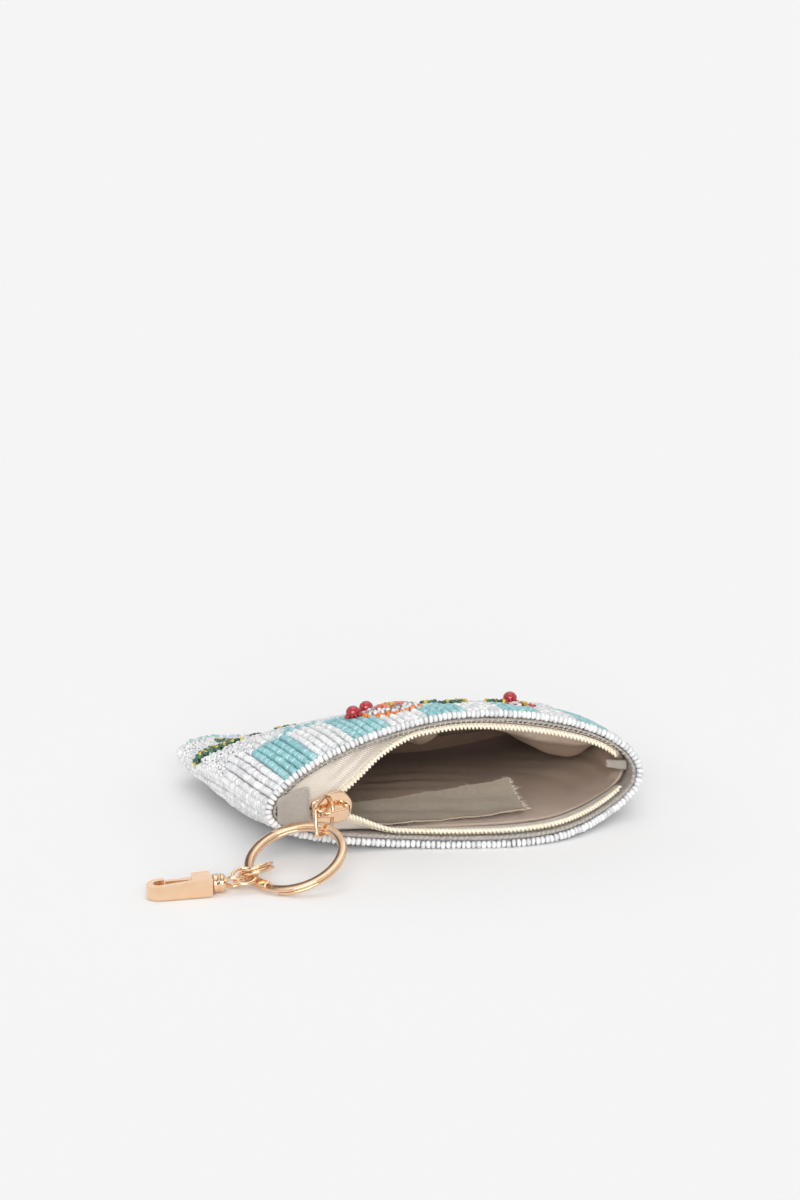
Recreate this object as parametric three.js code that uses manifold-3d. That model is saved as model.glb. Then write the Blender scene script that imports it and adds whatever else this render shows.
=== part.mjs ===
// Beaded coin pouch lying on its back panel, zip half open, with a split ring and a swivel clasp.
// Millimetres, +X along the mouth, +Y towards the closed back edge, +Z up.
// The origin is on the flat underside, in the middle of the patch that the pouch rests on.
import * as THREE from "three";
import { mergeVertices } from "three/addons/utils/BufferGeometryUtils.js";
import Module from "manifold-3d";

const wasm = await Module();
wasm.setup();

// Pouch body
const MOUTH_HALF = 60.5;
const BACK_HALF = 64.6;
const DEPTH = 83.4;
const SEAM_HEIGHT = 14.7;
const CROWN_RISE = 23.9;
const REST_SETBACK = 25;
const CORNER_RADIUS = 7;
const BEADED_WALL = 2.3;
const LINING_WALL = 0.9;
const LINING_EASE = 0.7;
const GAP = 0.3;
const TOP_LIP_LEAN = 3.2;
const BOTTOM_LIP_BULGE = 14.6;
const BULGE_CENTRE = 24.5;
const BULGE_REACH_LEFT = 40;
const BULGE_REACH_RIGHT = 33;
const BACK_EDGE_PULL = 3;

// Mouth trim
const EDGE_BEAD = 2.3;
const LINEN_THICKNESS = 0.6;
const LINEN_DEPTH = 7;
const TAPE_THICKNESS = 0.8;
const COIL_WIDTH = 2.3;
const COIL_THICKNESS = 1.7;
const ZIP_END_INSET = 3.6;
const CLOSED_ZIP_PROUD = 1.2;
const OPEN_COIL_PROUD = 0.8;
const TAPE_SEWN_BACK = 4.6;
const TOP_COIL_ROLL = 45;
const BOTTOM_COIL_ROLL = 80;

// End tabs and label
const LEFT_TAB_WIDTH = 9.4;
const LEFT_TAB_HEIGHT = 13.4;
const LEFT_TAB_LIFT = 0.6;
const TAB_THICKNESS = 1.1;
const RIGHT_TAB_LENGTH = 6;
const RIGHT_TAB_HEIGHT = 3.2;
const LABEL_LENGTH = 52;
const LABEL_WIDTH = 15;
const LABEL_THICKNESS = 0.6;
const LABEL_CENTRE_X = -4;
const LABEL_SETBACK = 2.5;
const LABEL_LEFT_LIFT = 1.6;
const LABEL_RIGHT_LIFT = 5.2;

// Slider and pull
const SLIDER_FROM_END = 20.1;
const SLIDER_X = -MOUTH_HALF + SLIDER_FROM_END;
const SLIDER_LENGTH = 12.6;
const SLIDER_WIDTH = 9.8;
const SLIDER_PLATE = 1.2;
const SLIDER_ROLL = -7;
const BRIDGE_LENGTH = 9.4;
const BRIDGE_BAR = 1.1;
const BRIDGE_WIDTH = 1.8;
const BRIDGE_GAP = 3.8;
const BRIDGE_LEG = 1.2;
const PULL_WIRE = 1.1;
const PULL_THICKNESS = 1;
const PULL_HALF_WIDTH = 5.8;
const PULL_ARCH_TOP = 1.7;
const PULL_SHOULDER = 3.5;
const PULL_TIP_ROOM = 1.6;
const PULL_WAIST = 0.53;

// Split ring
const RING_OUTER_DIAMETER = 30;
const RING_BAND = 2.4;
const RING_TURN = 0.95;
const RING_BESIDE_SLIDER = 16.8;
const RING_X = SLIDER_X - RING_BESIDE_SLIDER;
const RING_Y = -20.4;
const RING_TILT = 23;
const RING_HEADING = 33;
const RING_FLOOR_GAP = 0.35;
const RING_PULL_ANGLE = 4;

// Jump ring, link and swivel eye
const JUMP_OUTER_DIAMETER = 11;
const JUMP_WIRE = 1.1;
const JUMP_PITCH = 1.25;
const LINK_OUTER_DIAMETER = 7.8;
const LINK_WIRE = 1;
const EYE_OUTER_DIAMETER = 7;
const EYE_WIRE = 1.4;
const EYE_TURN = 45.0;
const JUMP_SLACK = 1.2902164174;
const LINK_SLACK = 1.5913521741;
const EYE_SLACK = 1.9599677633;
const COLLAR_DIAMETER = 5.4;
const COLLAR_LENGTH = 3.8;
const STEM_DIAMETER = 2;
const STEM_HEAD_DIAMETER = 2.9;

// Clasp
const CLASP_LENGTH = 18.5;
const CLASP_WIDTH = 7.6;
const CLASP_THICK_END = 5.2;
const CLASP_THIN_END = 3.4;
const CLASP_HEADING = 173;
const CLASP_FLOOR_GAP = 0.3;
const HOOK_BAR = 2;
const HOOK_OPENING_START = 5.6;
const GATE_PIVOT_X = 4.4;
const GATE_LENGTH = 8.4;
const GATE_BAR = 1.5;
const GATE_THICKNESS = 1.8;
const PIVOT_PIN = 1.1;

// Berries on the top panel
const BERRY_DIAMETER = 4.4;
const BERRY_HEIGHT = 3;

// Sections of the body from the mouth to the back edge. depth is a share of DEPTH, rise of
// CROWN_RISE, drop, seam and sag of SEAM_HEIGHT. The last four columns say how square each quarter
// of the section is, where 2 is an ellipse.
const SECTIONS = [
  { depth: 0.0, rise: 1.0, drop: 1.0, seam: 1.0, sag: 0.0, topLeft: 1.7, topRight: 1.86, lowLeft: 2.05, lowRight: 2.9 },
  { depth: 0.15, rise: 0.96, drop: 1.08, seam: 0.99, sag: 0.0, topLeft: 1.87, topRight: 1.82, lowLeft: 2.34, lowRight: 2.89 },
  { depth: 0.32, rise: 0.86, drop: 1.15, seam: 0.97, sag: 0.03, topLeft: 2.07, topRight: 1.8, lowLeft: 2.67, lowRight: 2.88 },
  { depth: 0.5, rise: 0.75, drop: 0.9, seam: 0.88, sag: 0.09, topLeft: 2.27, topRight: 1.85, lowLeft: 2.95, lowRight: 2.88 },
  { depth: 0.68, rise: 0.55, drop: 0.66, seam: 0.75, sag: 0.17, topLeft: 2.6, topRight: 2.24, lowLeft: 2.96, lowRight: 2.87 },
  { depth: 0.84, rise: 0.38, drop: 0.5, seam: 0.64, sag: 0.24, topLeft: 2.9, topRight: 2.72, lowLeft: 2.91, lowRight: 2.86 },
  { depth: 0.95, rise: 0.3, drop: 0.38, seam: 0.66, sag: 0.28, topLeft: 3.1, topRight: 3.0, lowLeft: 2.87, lowRight: 2.86 },
  { depth: 1.0, rise: 0.22, drop: 0.24, seam: 0.7, sag: 0.28, topLeft: 3.1, topRight: 3.1, lowLeft: 2.85, lowRight: 2.85 },
];

// How far each coil's inner edge has opened: 0 on the seam line, 1 against its lip.
// across is a share of MOUTH_HALF from the left end to the right.
const ZIP_EDGE = [
  { across: -1.0, top: 0.0, bottom: 0.0 },
  { across: -0.68, top: 0.0, bottom: 0.0 },
  { across: -0.575, top: 0.33, bottom: 0.42 },
  { across: -0.41, top: 0.8, bottom: 0.94 },
  { across: -0.19, top: 1.0, bottom: 1.0 },
  { across: 0.06, top: 1.0, bottom: 1.0 },
  { across: 0.33, top: 0.97, bottom: 1.0 },
  { across: 0.6, top: 0.95, bottom: 1.0 },
  { across: 1.0, top: 1.0, bottom: 1.0 },
];

// Soft folds of the lining: where they run (a turn round the section and a share of the depth),
// how wide they are each way, and how far they stand into the bag.
const LINING_FOLDS = [
  { turn: 50, depth: 0.2, wideTurn: 26, wideDepth: 0.12, height: 5.0 },
  { turn: 36, depth: 0.44, wideTurn: 22, wideDepth: 0.17, height: 8.0 },
  { turn: 88, depth: 0.42, wideTurn: 10, wideDepth: 0.13, height: 5.5 },
  { turn: 112, depth: 0.34, wideTurn: 12, wideDepth: 0.14, height: 4.5 },
  { turn: 140, depth: 0.5, wideTurn: 12, wideDepth: 0.2, height: 2.4 },
];

// Berries: across is a share of the half width, depth a share of DEPTH.
const BERRIES = [
  { name: "berry_left", across: -0.4, depth: 0.25 },
  { name: "berry_middle", across: -0.31, depth: 0.3 },
  { name: "berry_right", across: 0.42, depth: 0.27 },
];

const LOOP_STEPS = 56;
const OUTER_DEPTHS = [0, 0.05, 0.12, 0.21, 0.32, 0.44, 0.56, 0.68, 0.79, 0.88, 0.945, 0.98, 1];
const BAG_DEPTHS = [0.22, 0.36, 0.5, 0.64, 0.78, 0.9];

const MOUTH = new THREE.Vector3(0, -REST_SETBACK, SEAM_HEIGHT);
const radians = THREE.MathUtils.degToRad;
const vec = (x, y, z) => new THREE.Vector3(x, y, z);

// A smooth curve through one column of a table, read at a value of its first column.
function column(table, key, name, at) {
  let i = 0;
  while (i < table.length - 2 && at > table[i + 1][key]) i += 1;
  const a = table[i];
  const b = table[i + 1];
  const before = table[Math.max(i - 1, 0)];
  const after = table[Math.min(i + 2, table.length - 1)];
  const width = b[key] - a[key];
  const s = THREE.MathUtils.clamp((at - a[key]) / width, 0, 1);
  const slopeA = before === a ? 0 : (b[name] - before[name]) / (b[key] - before[key]);
  const slopeB = after === b ? 0 : (after[name] - a[name]) / (after[key] - a[key]);
  const rise = 3 * s * s - 2 * s * s * s;
  const startPull = s * (1 - s) * (1 - s);
  const endPull = s * s * (s - 1);
  return a[name] + (b[name] - a[name]) * rise + width * (slopeA * startPull + slopeB * endPull);
}

const section = (name, depth) => column(SECTIONS, "depth", name, depth);

// Half the pouch's width at a share of its depth, with the two back corners rounded.
function halfWidth(depth) {
  const spread = MOUTH_HALF + (BACK_HALF - MOUTH_HALF) * (1 - (1 - depth) ** 2);
  const intoCorner = Math.max(0, (depth * DEPTH - (DEPTH - CORNER_RADIUS)) / CORNER_RADIUS);
  return spread - CORNER_RADIUS * (1 - Math.sqrt(1 - intoCorner * intoCorner));
}

// How far the bottom lip pushes out towards the viewer at a place across the mouth.
function lipBulge(x) {
  const reach = x < BULGE_CENTRE ? BULGE_REACH_LEFT : BULGE_REACH_RIGHT;
  const away = (x - BULGE_CENTRE) / reach;
  const end = Math.min(1, Math.abs(x) / MOUTH_HALF);
  return BOTTOM_LIP_BULGE * Math.exp(-away * away) * (1 - end ** 8);
}

// The column of SECTIONS that holds for a quarter of the section.
function quarter(across, up) {
  if (up < 0) return across < 0 ? "lowLeft" : "lowRight";
  return across < 0 ? "topLeft" : "topRight";
}

// A point of the body. turn runs once round the section from its right end over the top,
// and inset is how far the point lies inside the outer surface.
function bodyPoint(turn, depth, inset) {
  const c = Math.cos(turn);
  const s = Math.sin(turn);
  const exponent = 2 / section(quarter(c, s), depth);
  const half = halfWidth(depth) - inset;
  const side = Math.sign(c) * Math.abs(c) ** exponent;
  const x = half * side;
  const height = Math.abs(s) ** exponent;
  const middle = SEAM_HEIGHT * (section("seam", depth) - section("sag", depth) * (1 - side * side));
  let z = middle + (CROWN_RISE * section("rise", depth) - inset) * height;
  if (s < 0) z = middle - (SEAM_HEIGHT * section("drop", depth) - inset) * height;
  const fade = (1 - depth) ** 3;
  const lip = s < 0 ? -lipBulge(x) * height ** 2 : TOP_LIP_LEAN * height;
  const back = DEPTH - inset - BACK_EDGE_PULL * (1 - side * side);
  return vec(x, MOUTH.y + back * depth + lip * fade, Math.max(z, inset));
}

// One closed mesh from a list of vertices and triangles.
function meshGeometry(points, triangles) {
  const positions = new Float32Array(points.flatMap((p) => [p.x, p.y, p.z]));
  const geometry = new THREE.BufferGeometry();
  geometry.setAttribute("position", new THREE.BufferAttribute(positions, 3));
  geometry.setIndex(triangles);
  return geometry;
}

// A skin through closed rings of equal length. It is shut at both ends, or joined back to its
// first ring where round is true.
function ringSkin(rings, round = false) {
  const count = rings[0].length;
  const points = rings.flat();
  const triangles = [];
  const last = round ? rings.length : rings.length - 1;
  for (let r = 0; r < last; r += 1) {
    const here = r * count;
    const next = ((r + 1) % rings.length) * count;
    for (let i = 0; i < count; i += 1) {
      const j = (i + 1) % count;
      triangles.push(here + i, here + j, next + j, here + i, next + j, next + i);
    }
  }
  if (!round) {
    for (const [start, flip] of [[0, true], [(rings.length - 1) * count, false]]) {
      const middle = points.length;
      const ring = points.slice(start, start + count);
      points.push(ring.reduce((sum, p) => sum.add(p), vec(0, 0, 0)).divideScalar(count));
      for (let i = 0; i < count; i += 1) {
        const j = (i + 1) % count;
        if (flip) triangles.push(middle, start + j, start + i);
        else triangles.push(middle, start + i, start + j);
      }
    }
  }
  return outward(meshGeometry(points, triangles));
}

// The same mesh with its faces pointing out.
function outward(geometry) {
  const p = geometry.attributes.position;
  const index = Array.from(geometry.index.array);
  const corner = [vec(0, 0, 0), vec(0, 0, 0), vec(0, 0, 0)];
  let volume = 0;
  for (let i = 0; i < index.length; i += 3) {
    for (let k = 0; k < 3; k += 1) corner[k].fromBufferAttribute(p, index[i + k]);
    volume += corner[0].dot(corner[1].clone().cross(corner[2]));
  }
  if (volume < 0) {
    for (let i = 0; i < index.length; i += 3) [index[i], index[i + 1]] = [index[i + 1], index[i]];
    geometry.setIndex(index);
  }
  return geometry;
}

// A bag open at the mouth: an outer skin to the back, and the cavity's skin back to the mouth.
function bagGeometry(outer, cavity) {
  return ringSkin([...outer].reverse().concat(cavity));
}

const bodyRing = (depth, inset, shape = (p) => p) =>
  Array.from({ length: LOOP_STEPS }, (_, i) => {
    const turn = (2 * Math.PI * i) / LOOP_STEPS;
    return shape(bodyPoint(turn, depth, inset), turn);
  });

// The lining stands a gap inside the shell and starts behind the linen edge.
const LINING_START = (LINEN_DEPTH + 2 * GAP) / DEPTH;
const LINING_END = 0.93;
const LINING_INSET = BEADED_WALL + LINING_EASE;

function beadedShell() {
  const outer = OUTER_DEPTHS.map((depth) => bodyRing(depth, 0));
  const cavity = [0, LINING_START, ...BAG_DEPTHS, 0.95].map((depth) => bodyRing(depth, BEADED_WALL));
  return bagGeometry(outer, cavity);
}

function foldHeight(turn, depth) {
  const degrees = THREE.MathUtils.radToDeg(turn);
  return LINING_FOLDS.reduce((sum, f) => {
    const a = (degrees - f.turn) / f.wideTurn;
    const b = (depth - f.depth) / f.wideDepth;
    return sum + f.height * Math.exp(-a * a - b * b);
  }, 0);
}

function liningBag() {
  const depths = [LINING_START, ...BAG_DEPTHS, LINING_END];
  const outer = depths.map((depth) => bodyRing(depth, LINING_INSET));
  const inner = depths.map((depth) => {
    const sink = LINING_INSET + LINING_WALL;
    return bodyRing(depth * (1 - LINING_WALL / DEPTH), sink, (p, turn) => {
      if (turn < Math.PI) p.z -= foldHeight(turn, depth);
      return p;
    });
  });
  return bagGeometry(outer, inner);
}

// A closed tube with the given section round a loop of points.
function tubeRound(path, sectionAt) {
  return ringSkin(path.map((p, i) => sectionAt(p, i)), true);
}

// The bead rope lies in front of the wall, all round the mouth.
const ROPE_SIDES = 8;

// A place near the mouth: inset from the outer surface, and back behind the wall's front end.
function mouthPoint(turn, inset, back) {
  const p = bodyPoint(turn, Math.max(back, 0) / DEPTH, inset);
  p.y += Math.min(back, 0);
  return p;
}

function mouthBand(corners) {
  const turns = Array.from({ length: LOOP_STEPS }, (_, i) => (2 * Math.PI * i) / LOOP_STEPS);
  return tubeRound(turns, (turn) => corners.map(([inset, back]) => mouthPoint(turn, inset, back)));
}

function edgeBeadRope() {
  const radius = EDGE_BEAD / 2;
  return mouthBand(Array.from({ length: ROPE_SIDES }, (_, k) => {
    const a = (2 * Math.PI * k) / ROPE_SIDES;
    return [radius + radius * Math.cos(a), -radius - GAP + radius * Math.sin(a)];
  }));
}

// The linen edge is folded in under the wall. Its front lies just inside the bead rope.
const LINEN_INSET = BEADED_WALL + 1.5 * GAP;
const LINEN_FRONT = -EDGE_BEAD * 0.7;
function linenEdge() {
  const inner = LINEN_INSET + LINEN_THICKNESS;
  return mouthBand([
    [LINEN_INSET, LINEN_FRONT], [inner, LINEN_FRONT], [inner, 0], [inner, LINEN_DEPTH],
    [LINEN_INSET, LINEN_DEPTH], [LINEN_INSET, 0],
  ]);
}

// The zip, station by station across the mouth. Where it is closed the tapes hang straight between
// the lips, and where it is open each coil lies along its lip and its tape runs back inside.
const TAPE_INSET = LINEN_INSET + LINEN_THICKNESS + 1.5 * GAP;
const ZIP_STEPS = 34;
const ZIP_REACH = MOUTH_HALF - TAPE_INSET - ZIP_END_INSET;

// The turn round the section, at a given inset, that lies at x on the upper or lower half.
function lipTurn(x, top, inset) {
  const exponent = 2 / section(quarter(x, top ? 1 : -1), 0);
  const side = Math.min(1, Math.abs(x) / (MOUTH_HALF - inset));
  const turn = Math.acos(Math.sign(x) * side ** (1 / exponent));
  return top ? turn : -turn;
}

function zipStation(x, top) {
  const away = top ? 1 : -1;
  const asked = column(ZIP_EDGE, "across", top ? "top" : "bottom", x / MOUTH_HALF);
  const open = THREE.MathUtils.clamp(asked, 0, 1);
  const roll = radians(top ? TOP_COIL_ROLL : BOTTOM_COIL_ROLL) * open ** 2;
  const half = COIL_THICKNESS / 2;
  const snug = TAPE_INSET + COIL_WIDTH * Math.cos(roll) + half * Math.sin(roll);
  const lip = mouthPoint(lipTurn(x, top, snug), snug, -OPEN_COIL_PROUD);
  const rise = GAP / 2 + Math.max(0, Math.abs(lip.z - SEAM_HEIGHT) - GAP / 2) * open;
  const closedY = MOUTH.y - CLOSED_ZIP_PROUD;
  const edge = vec(x, closedY + (lip.y - closedY) * open ** 3, SEAM_HEIGHT + away * rise);
  const along = vec(0, Math.sin(roll), away * Math.cos(roll));
  const sewnInset = TAPE_INSET + TAPE_THICKNESS / 2;
  const sewnBack = TAPE_SEWN_BACK * open - CLOSED_ZIP_PROUD * 0.5 * (1 - open);
  const sewn = mouthPoint(lipTurn(x, top, sewnInset), sewnInset, sewnBack);
  sewn.x = x;
  return { edge, along, sewn };
}

function zipStrip(top, sides) {
  const rings = Array.from({ length: ZIP_STEPS + 1 }, (_, i) => {
    const station = zipStation(-ZIP_REACH + (2 * ZIP_REACH * i) / ZIP_STEPS, top);
    return sides(station);
  });
  return ringSkin(rings);
}

const faceOf = (along) => vec(0, -along.z, along.y).normalize();

function zipTape(top) {
  const h = TAPE_THICKNESS / 2;
  return zipStrip(top, ({ edge, along, sewn }) => {
    const start = edge.clone().addScaledVector(along, COIL_WIDTH + 1.5 * GAP);
    const face = faceOf(sewn.clone().sub(start)).multiplyScalar(h);
    return [start.clone().sub(face), sewn.clone().sub(face), sewn.clone().add(face), start.clone().add(face)];
  });
}

function zipCoil(top) {
  const h = COIL_THICKNESS / 2;
  const w = COIL_WIDTH;
  const corners = [[0, -h * 0.4], [w * 0.2, -h], [w, -h], [w, h], [w * 0.2, h], [0, h * 0.4]];
  return zipStrip(top, ({ edge, along }) => {
    const face = faceOf(along);
    return corners.map(([u, n]) => edge.clone().addScaledVector(along, u).addScaledVector(face, n));
  });
}

// A solid of manifold-3d from a closed mesh, and a mesh back from it.
function solid(geometry) {
  const bare = geometry.index ? geometry.toNonIndexed() : geometry.clone();
  bare.deleteAttribute("normal");
  bare.deleteAttribute("uv");
  const merged = mergeVertices(bare, 1e-4);
  return new wasm.Manifold(new wasm.Mesh({
    numProp: 3,
    vertProperties: new Float32Array(merged.attributes.position.array),
    triVerts: new Uint32Array(merged.index.array),
  }));
}

function geometryOf(manifold) {
  const mesh = manifold.getMesh();
  const geometry = new THREE.BufferGeometry();
  geometry.setAttribute("position", new THREE.BufferAttribute(new Float32Array(mesh.vertProperties), 3));
  geometry.setIndex(Array.from(mesh.triVerts));
  return geometry;
}

const boxAt = (sx, sy, sz, x, y, z) => solid(new THREE.BoxGeometry(sx, sy, sz).translate(x, y, z));

// A cylinder along X, Y or Z.
function rod(diameter, length, axis, x, y, z, sides = 16) {
  const geometry = new THREE.CylinderGeometry(diameter / 2, diameter / 2, length, sides);
  if (axis === "x") geometry.rotateZ(Math.PI / 2);
  if (axis === "z") geometry.rotateX(Math.PI / 2);
  return solid(geometry.translate(x, y, z));
}

function plate(points, thickness) {
  const shape = new THREE.Shape(points.map(([x, y]) => new THREE.Vector2(x, y)));
  const geometry = new THREE.ExtrudeGeometry(shape, { depth: thickness, bevelEnabled: false });
  return geometry.translate(0, 0, -thickness / 2);
}

// The slider in its own frame: X along the zip, Y through the plates, -Y to the viewer.
const SLIDER_CHANNEL = COIL_THICKNESS / 2 + 1.5 * GAP;
function sliderOutline() {
  const l = SLIDER_LENGTH / 2;
  const w = SLIDER_WIDTH / 2;
  const points = [];
  const steps = 14;
  for (let i = 0; i <= steps; i += 1) {
    const a = -Math.PI / 2 + (Math.PI * i) / steps;
    points.push([l * 0.25 + l * 0.75 * Math.cos(a), w * Math.sin(a)]);
  }
  points.push([-l * 0.3, w * 0.9], [-l * 0.62, w * 0.72], [-l, w * 0.66]);
  points.push([-l, -w * 0.66], [-l * 0.62, -w * 0.72], [-l * 0.3, -w * 0.9]);
  return points;
}

function sliderGeometry() {
  const face = SLIDER_CHANNEL + SLIDER_PLATE;
  const flat = (y) => solid(plate(sliderOutline(), SLIDER_PLATE).rotateX(Math.PI / 2).translate(0, y, 0));
  const front = flat(-SLIDER_CHANNEL - SLIDER_PLATE / 2);
  const rear = flat(SLIDER_CHANNEL + SLIDER_PLATE / 2);
  const post = boxAt(1.8, 2 * SLIDER_CHANNEL + SLIDER_PLATE, 1.6, SLIDER_LENGTH * 0.38, 0, 0);
  const barY = -face - BRIDGE_GAP - BRIDGE_BAR / 2;
  const bar = boxAt(BRIDGE_LENGTH, BRIDGE_BAR, BRIDGE_WIDTH, 0, barY, 0);
  const legY = -face - BRIDGE_GAP / 2;
  const legX = BRIDGE_LENGTH / 2 - BRIDGE_LEG / 2;
  const legTall = BRIDGE_GAP + BRIDGE_BAR;
  const left = boxAt(BRIDGE_LEG, legTall, BRIDGE_WIDTH, -legX, legY, 0);
  const right = boxAt(BRIDGE_LEG, legTall, BRIDGE_WIDTH, legX, legY, 0);
  return geometryOf([rear, post, bar, left, right].reduce((all, s) => all.add(s), front));
}

// Where the slider sits: on the closed zip line, turned a little with it.
const SLIDER_PLACE = vec(SLIDER_X, MOUTH.y - CLOSED_ZIP_PROUD, SEAM_HEIGHT);
const SLIDER_TURN = new THREE.Euler(0, radians(SLIDER_ROLL), 0);
const sliderSpot = (p) => p.clone().applyEuler(SLIDER_TURN).add(SLIDER_PLACE);
const SLIDER_FACE = vec(0, -1, 0).applyEuler(SLIDER_TURN);

// Split ring: two flat turns, leaning with its far side up. ringPoint gives a place on the wire.
const RING_MEAN = (RING_OUTER_DIAMETER - RING_BAND) / 2;
const RING_STACK = RING_TURN * 2 + 0.12;
const ringTilt = radians(RING_TILT);
const ringHeading = radians(RING_HEADING);
const RING_UP = vec(
  Math.cos(ringHeading) * Math.cos(ringTilt),
  Math.sin(ringHeading) * Math.cos(ringTilt),
  Math.sin(ringTilt));
const RING_SIDE = vec(-Math.sin(ringHeading), Math.cos(ringHeading), 0);
const RING_NORMAL = RING_UP.clone().cross(RING_SIDE);
const RING_CENTRE = vec(
  RING_X,
  MOUTH.y + RING_Y,
  RING_FLOOR_GAP + (RING_OUTER_DIAMETER / 2) * Math.sin(ringTilt) + (RING_STACK / 2) * Math.cos(ringTilt));

function ringPoint(degrees, radius = RING_MEAN) {
  const a = radians(degrees);
  return RING_CENTRE.clone()
    .addScaledVector(RING_UP, radius * Math.cos(a))
    .addScaledVector(RING_SIDE, radius * Math.sin(a));
}

// A wire wound round a centre: a section of corners carried round by a loop, rising along axis.
function woundWire({ centre, up, side, axis, mean, corners, turns, pitch, from, steps }) {
  const closed = pitch === 0;
  const count = closed ? steps : steps + 1;
  const rings = Array.from({ length: count }, (_, i) => {
    const share = i / steps;
    const a = radians(from) + 2 * Math.PI * turns * share;
    const out = up.clone().multiplyScalar(Math.cos(a)).addScaledVector(side, Math.sin(a));
    const lift = pitch * turns * (share - 0.5);
    return corners.map(([r, n]) =>
      centre.clone().addScaledVector(out, mean + r).addScaledVector(axis, n + lift));
  });
  return ringSkin(rings, closed);
}

const hexCorners = (wire) => Array.from({ length: 6 }, (_, k) => {
  const a = (2 * Math.PI * (k + 0.5)) / 6;
  return [(wire / 2) * Math.cos(a), (wire / 2) * Math.sin(a)];
});

const RING_SPLIT_AT = 196;
function splitRing() {
  const b = RING_BAND / 2;
  const h = RING_TURN / 2;
  return woundWire({
    centre: RING_CENTRE, up: RING_UP, side: RING_SIDE, axis: RING_NORMAL, mean: RING_MEAN,
    corners: [[-b, -h], [b, -h], [b, h], [-b, h]],
    turns: 1.96, pitch: RING_TURN + 0.12, from: RING_SPLIT_AT, steps: 78,
  });
}

// The pull is a flat wire kite. Its shoulder passes under the slider's bridge, and the split
// ring passes through its tip.
const TUNNEL = sliderSpot(vec(
  0,
  -SLIDER_CHANNEL - SLIDER_PLATE - BRIDGE_GAP * 0.44,
  0));
const PULL_RING = ringPoint(RING_PULL_ANGLE);

function pullFrame() {
  const k = PULL_RING.clone().sub(TUNNEL);
  const distance = k.length();
  k.normalize();
  const normal = SLIDER_FACE.clone().addScaledVector(k, -SLIDER_FACE.dot(k)).normalize();
  const across = normal.clone().cross(k);
  const s = PULL_SHOULDER / distance;
  const c = Math.sqrt(1 - s * s);
  const right = across.clone().multiplyScalar(c).addScaledVector(k, -s);
  const down = across.clone().multiplyScalar(s).addScaledVector(k, c);
  const ringAt = PULL_ARCH_TOP + distance * c;
  const origin = TUNNEL.clone().addScaledVector(right, -PULL_SHOULDER).addScaledVector(down, -PULL_ARCH_TOP);
  return { right, down, normal, origin, ringAt };
}

const PULL = pullFrame();
const PULL_TIP = PULL.ringAt + RING_BAND * 0.5 + PULL_WIRE + PULL_TIP_ROOM;

function pullOutline(inset) {
  const half = PULL_HALF_WIDTH - inset * 1.2;
  const tip = PULL_TIP - inset * 1.35;
  const wide = PULL_TIP * PULL_WAIST;
  const points = [];
  const steps = 10;
  const arch = PULL_SHOULDER + 0.6 - inset;
  for (let i = 0; i <= steps; i += 1) {
    const a = Math.PI * (0.14 + (0.72 * i) / steps);
    points.push([arch * Math.cos(a), arch + inset - arch * Math.sin(a)]);
  }
  points.push([-half, wide - 0.5], [-half, wide + 0.5], [-0.4, tip], [0.4, tip], [half, wide + 0.5], [half, wide - 0.5]);
  return points;
}

function pullGeometry() {
  const outer = new THREE.Shape(pullOutline(0).map(([x, y]) => new THREE.Vector2(x, y)));
  const hole = pullOutline(PULL_WIRE).reverse();
  outer.holes.push(new THREE.Path(hole.map(([x, y]) => new THREE.Vector2(x, y))));
  const geometry = new THREE.ExtrudeGeometry(outer, { depth: PULL_THICKNESS, bevelEnabled: false });
  geometry.translate(0, 0, -PULL_THICKNESS / 2);
  const back = PULL.right.clone().cross(PULL.down);
  const frame = new THREE.Matrix4().makeBasis(PULL.right, PULL.down, back).setPosition(PULL.origin);
  return geometry.applyMatrix4(frame);
}

// The double jump ring hangs on the split ring, the link on it, and the eye on the link. Each
// one's centre is a step from the last one's wire or centre, as long as their sizes allow less the
// slack that it lies with, and the wires pass through each other's holes with a small gap.
const inPlane = (direction, normal) =>
  direction.clone().addScaledVector(normal, -direction.dot(normal)).normalize();

const RING_JUMP_ANGLE = 143;
const RING_TO_JUMP = vec(0.74647193445, -0.15175210460, 0.64788189497).normalize();
const JUMP_NORMAL = vec(-0.118, 0.458, 0.882).normalize();
const JUMP_WIRE_END = inPlane(vec(-0.218, 0.854, -0.473), JUMP_NORMAL);
const JUMP_MEAN = (JUMP_OUTER_DIAMETER - JUMP_WIRE) / 2;
const JUMP_SEAT = JUMP_MEAN - JUMP_WIRE / 2 - RING_BAND / 2 - JUMP_SLACK;
const JUMP_CENTRE = ringPoint(RING_JUMP_ANGLE).addScaledVector(RING_TO_JUMP, JUMP_SEAT);

function jumpRing() {
  const side = JUMP_NORMAL.clone().cross(JUMP_WIRE_END);
  return woundWire({
    centre: JUMP_CENTRE, up: JUMP_WIRE_END, side, axis: JUMP_NORMAL, mean: JUMP_MEAN,
    corners: hexCorners(JUMP_WIRE), turns: 1.95, pitch: JUMP_PITCH, from: 0, steps: 42,
  });
}

const CLASP_AXIS = vec(Math.cos(radians(CLASP_HEADING)), Math.sin(radians(CLASP_HEADING)), 0);
const CLASP_AXIS_HEIGHT = CLASP_FLOOR_GAP + CLASP_THICK_END / 2;
const JUMP_TO_LINK = vec(-0.79248188678, -0.60925110570, 0.02802765294).normalize();
const LINK_NORMAL = vec(-0.079, -0.35, 0.934).normalize();
const LINK_SIDE = inPlane(vec(-1, 0, 0), LINK_NORMAL);
const LINK_MEAN = (LINK_OUTER_DIAMETER - LINK_WIRE) / 2;
const LINK_SEAT = JUMP_MEAN + LINK_MEAN - JUMP_WIRE / 2 - LINK_WIRE / 2 - LINK_SLACK;
const LINK_CENTRE = JUMP_CENTRE.clone().addScaledVector(JUMP_TO_LINK, LINK_SEAT);

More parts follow.
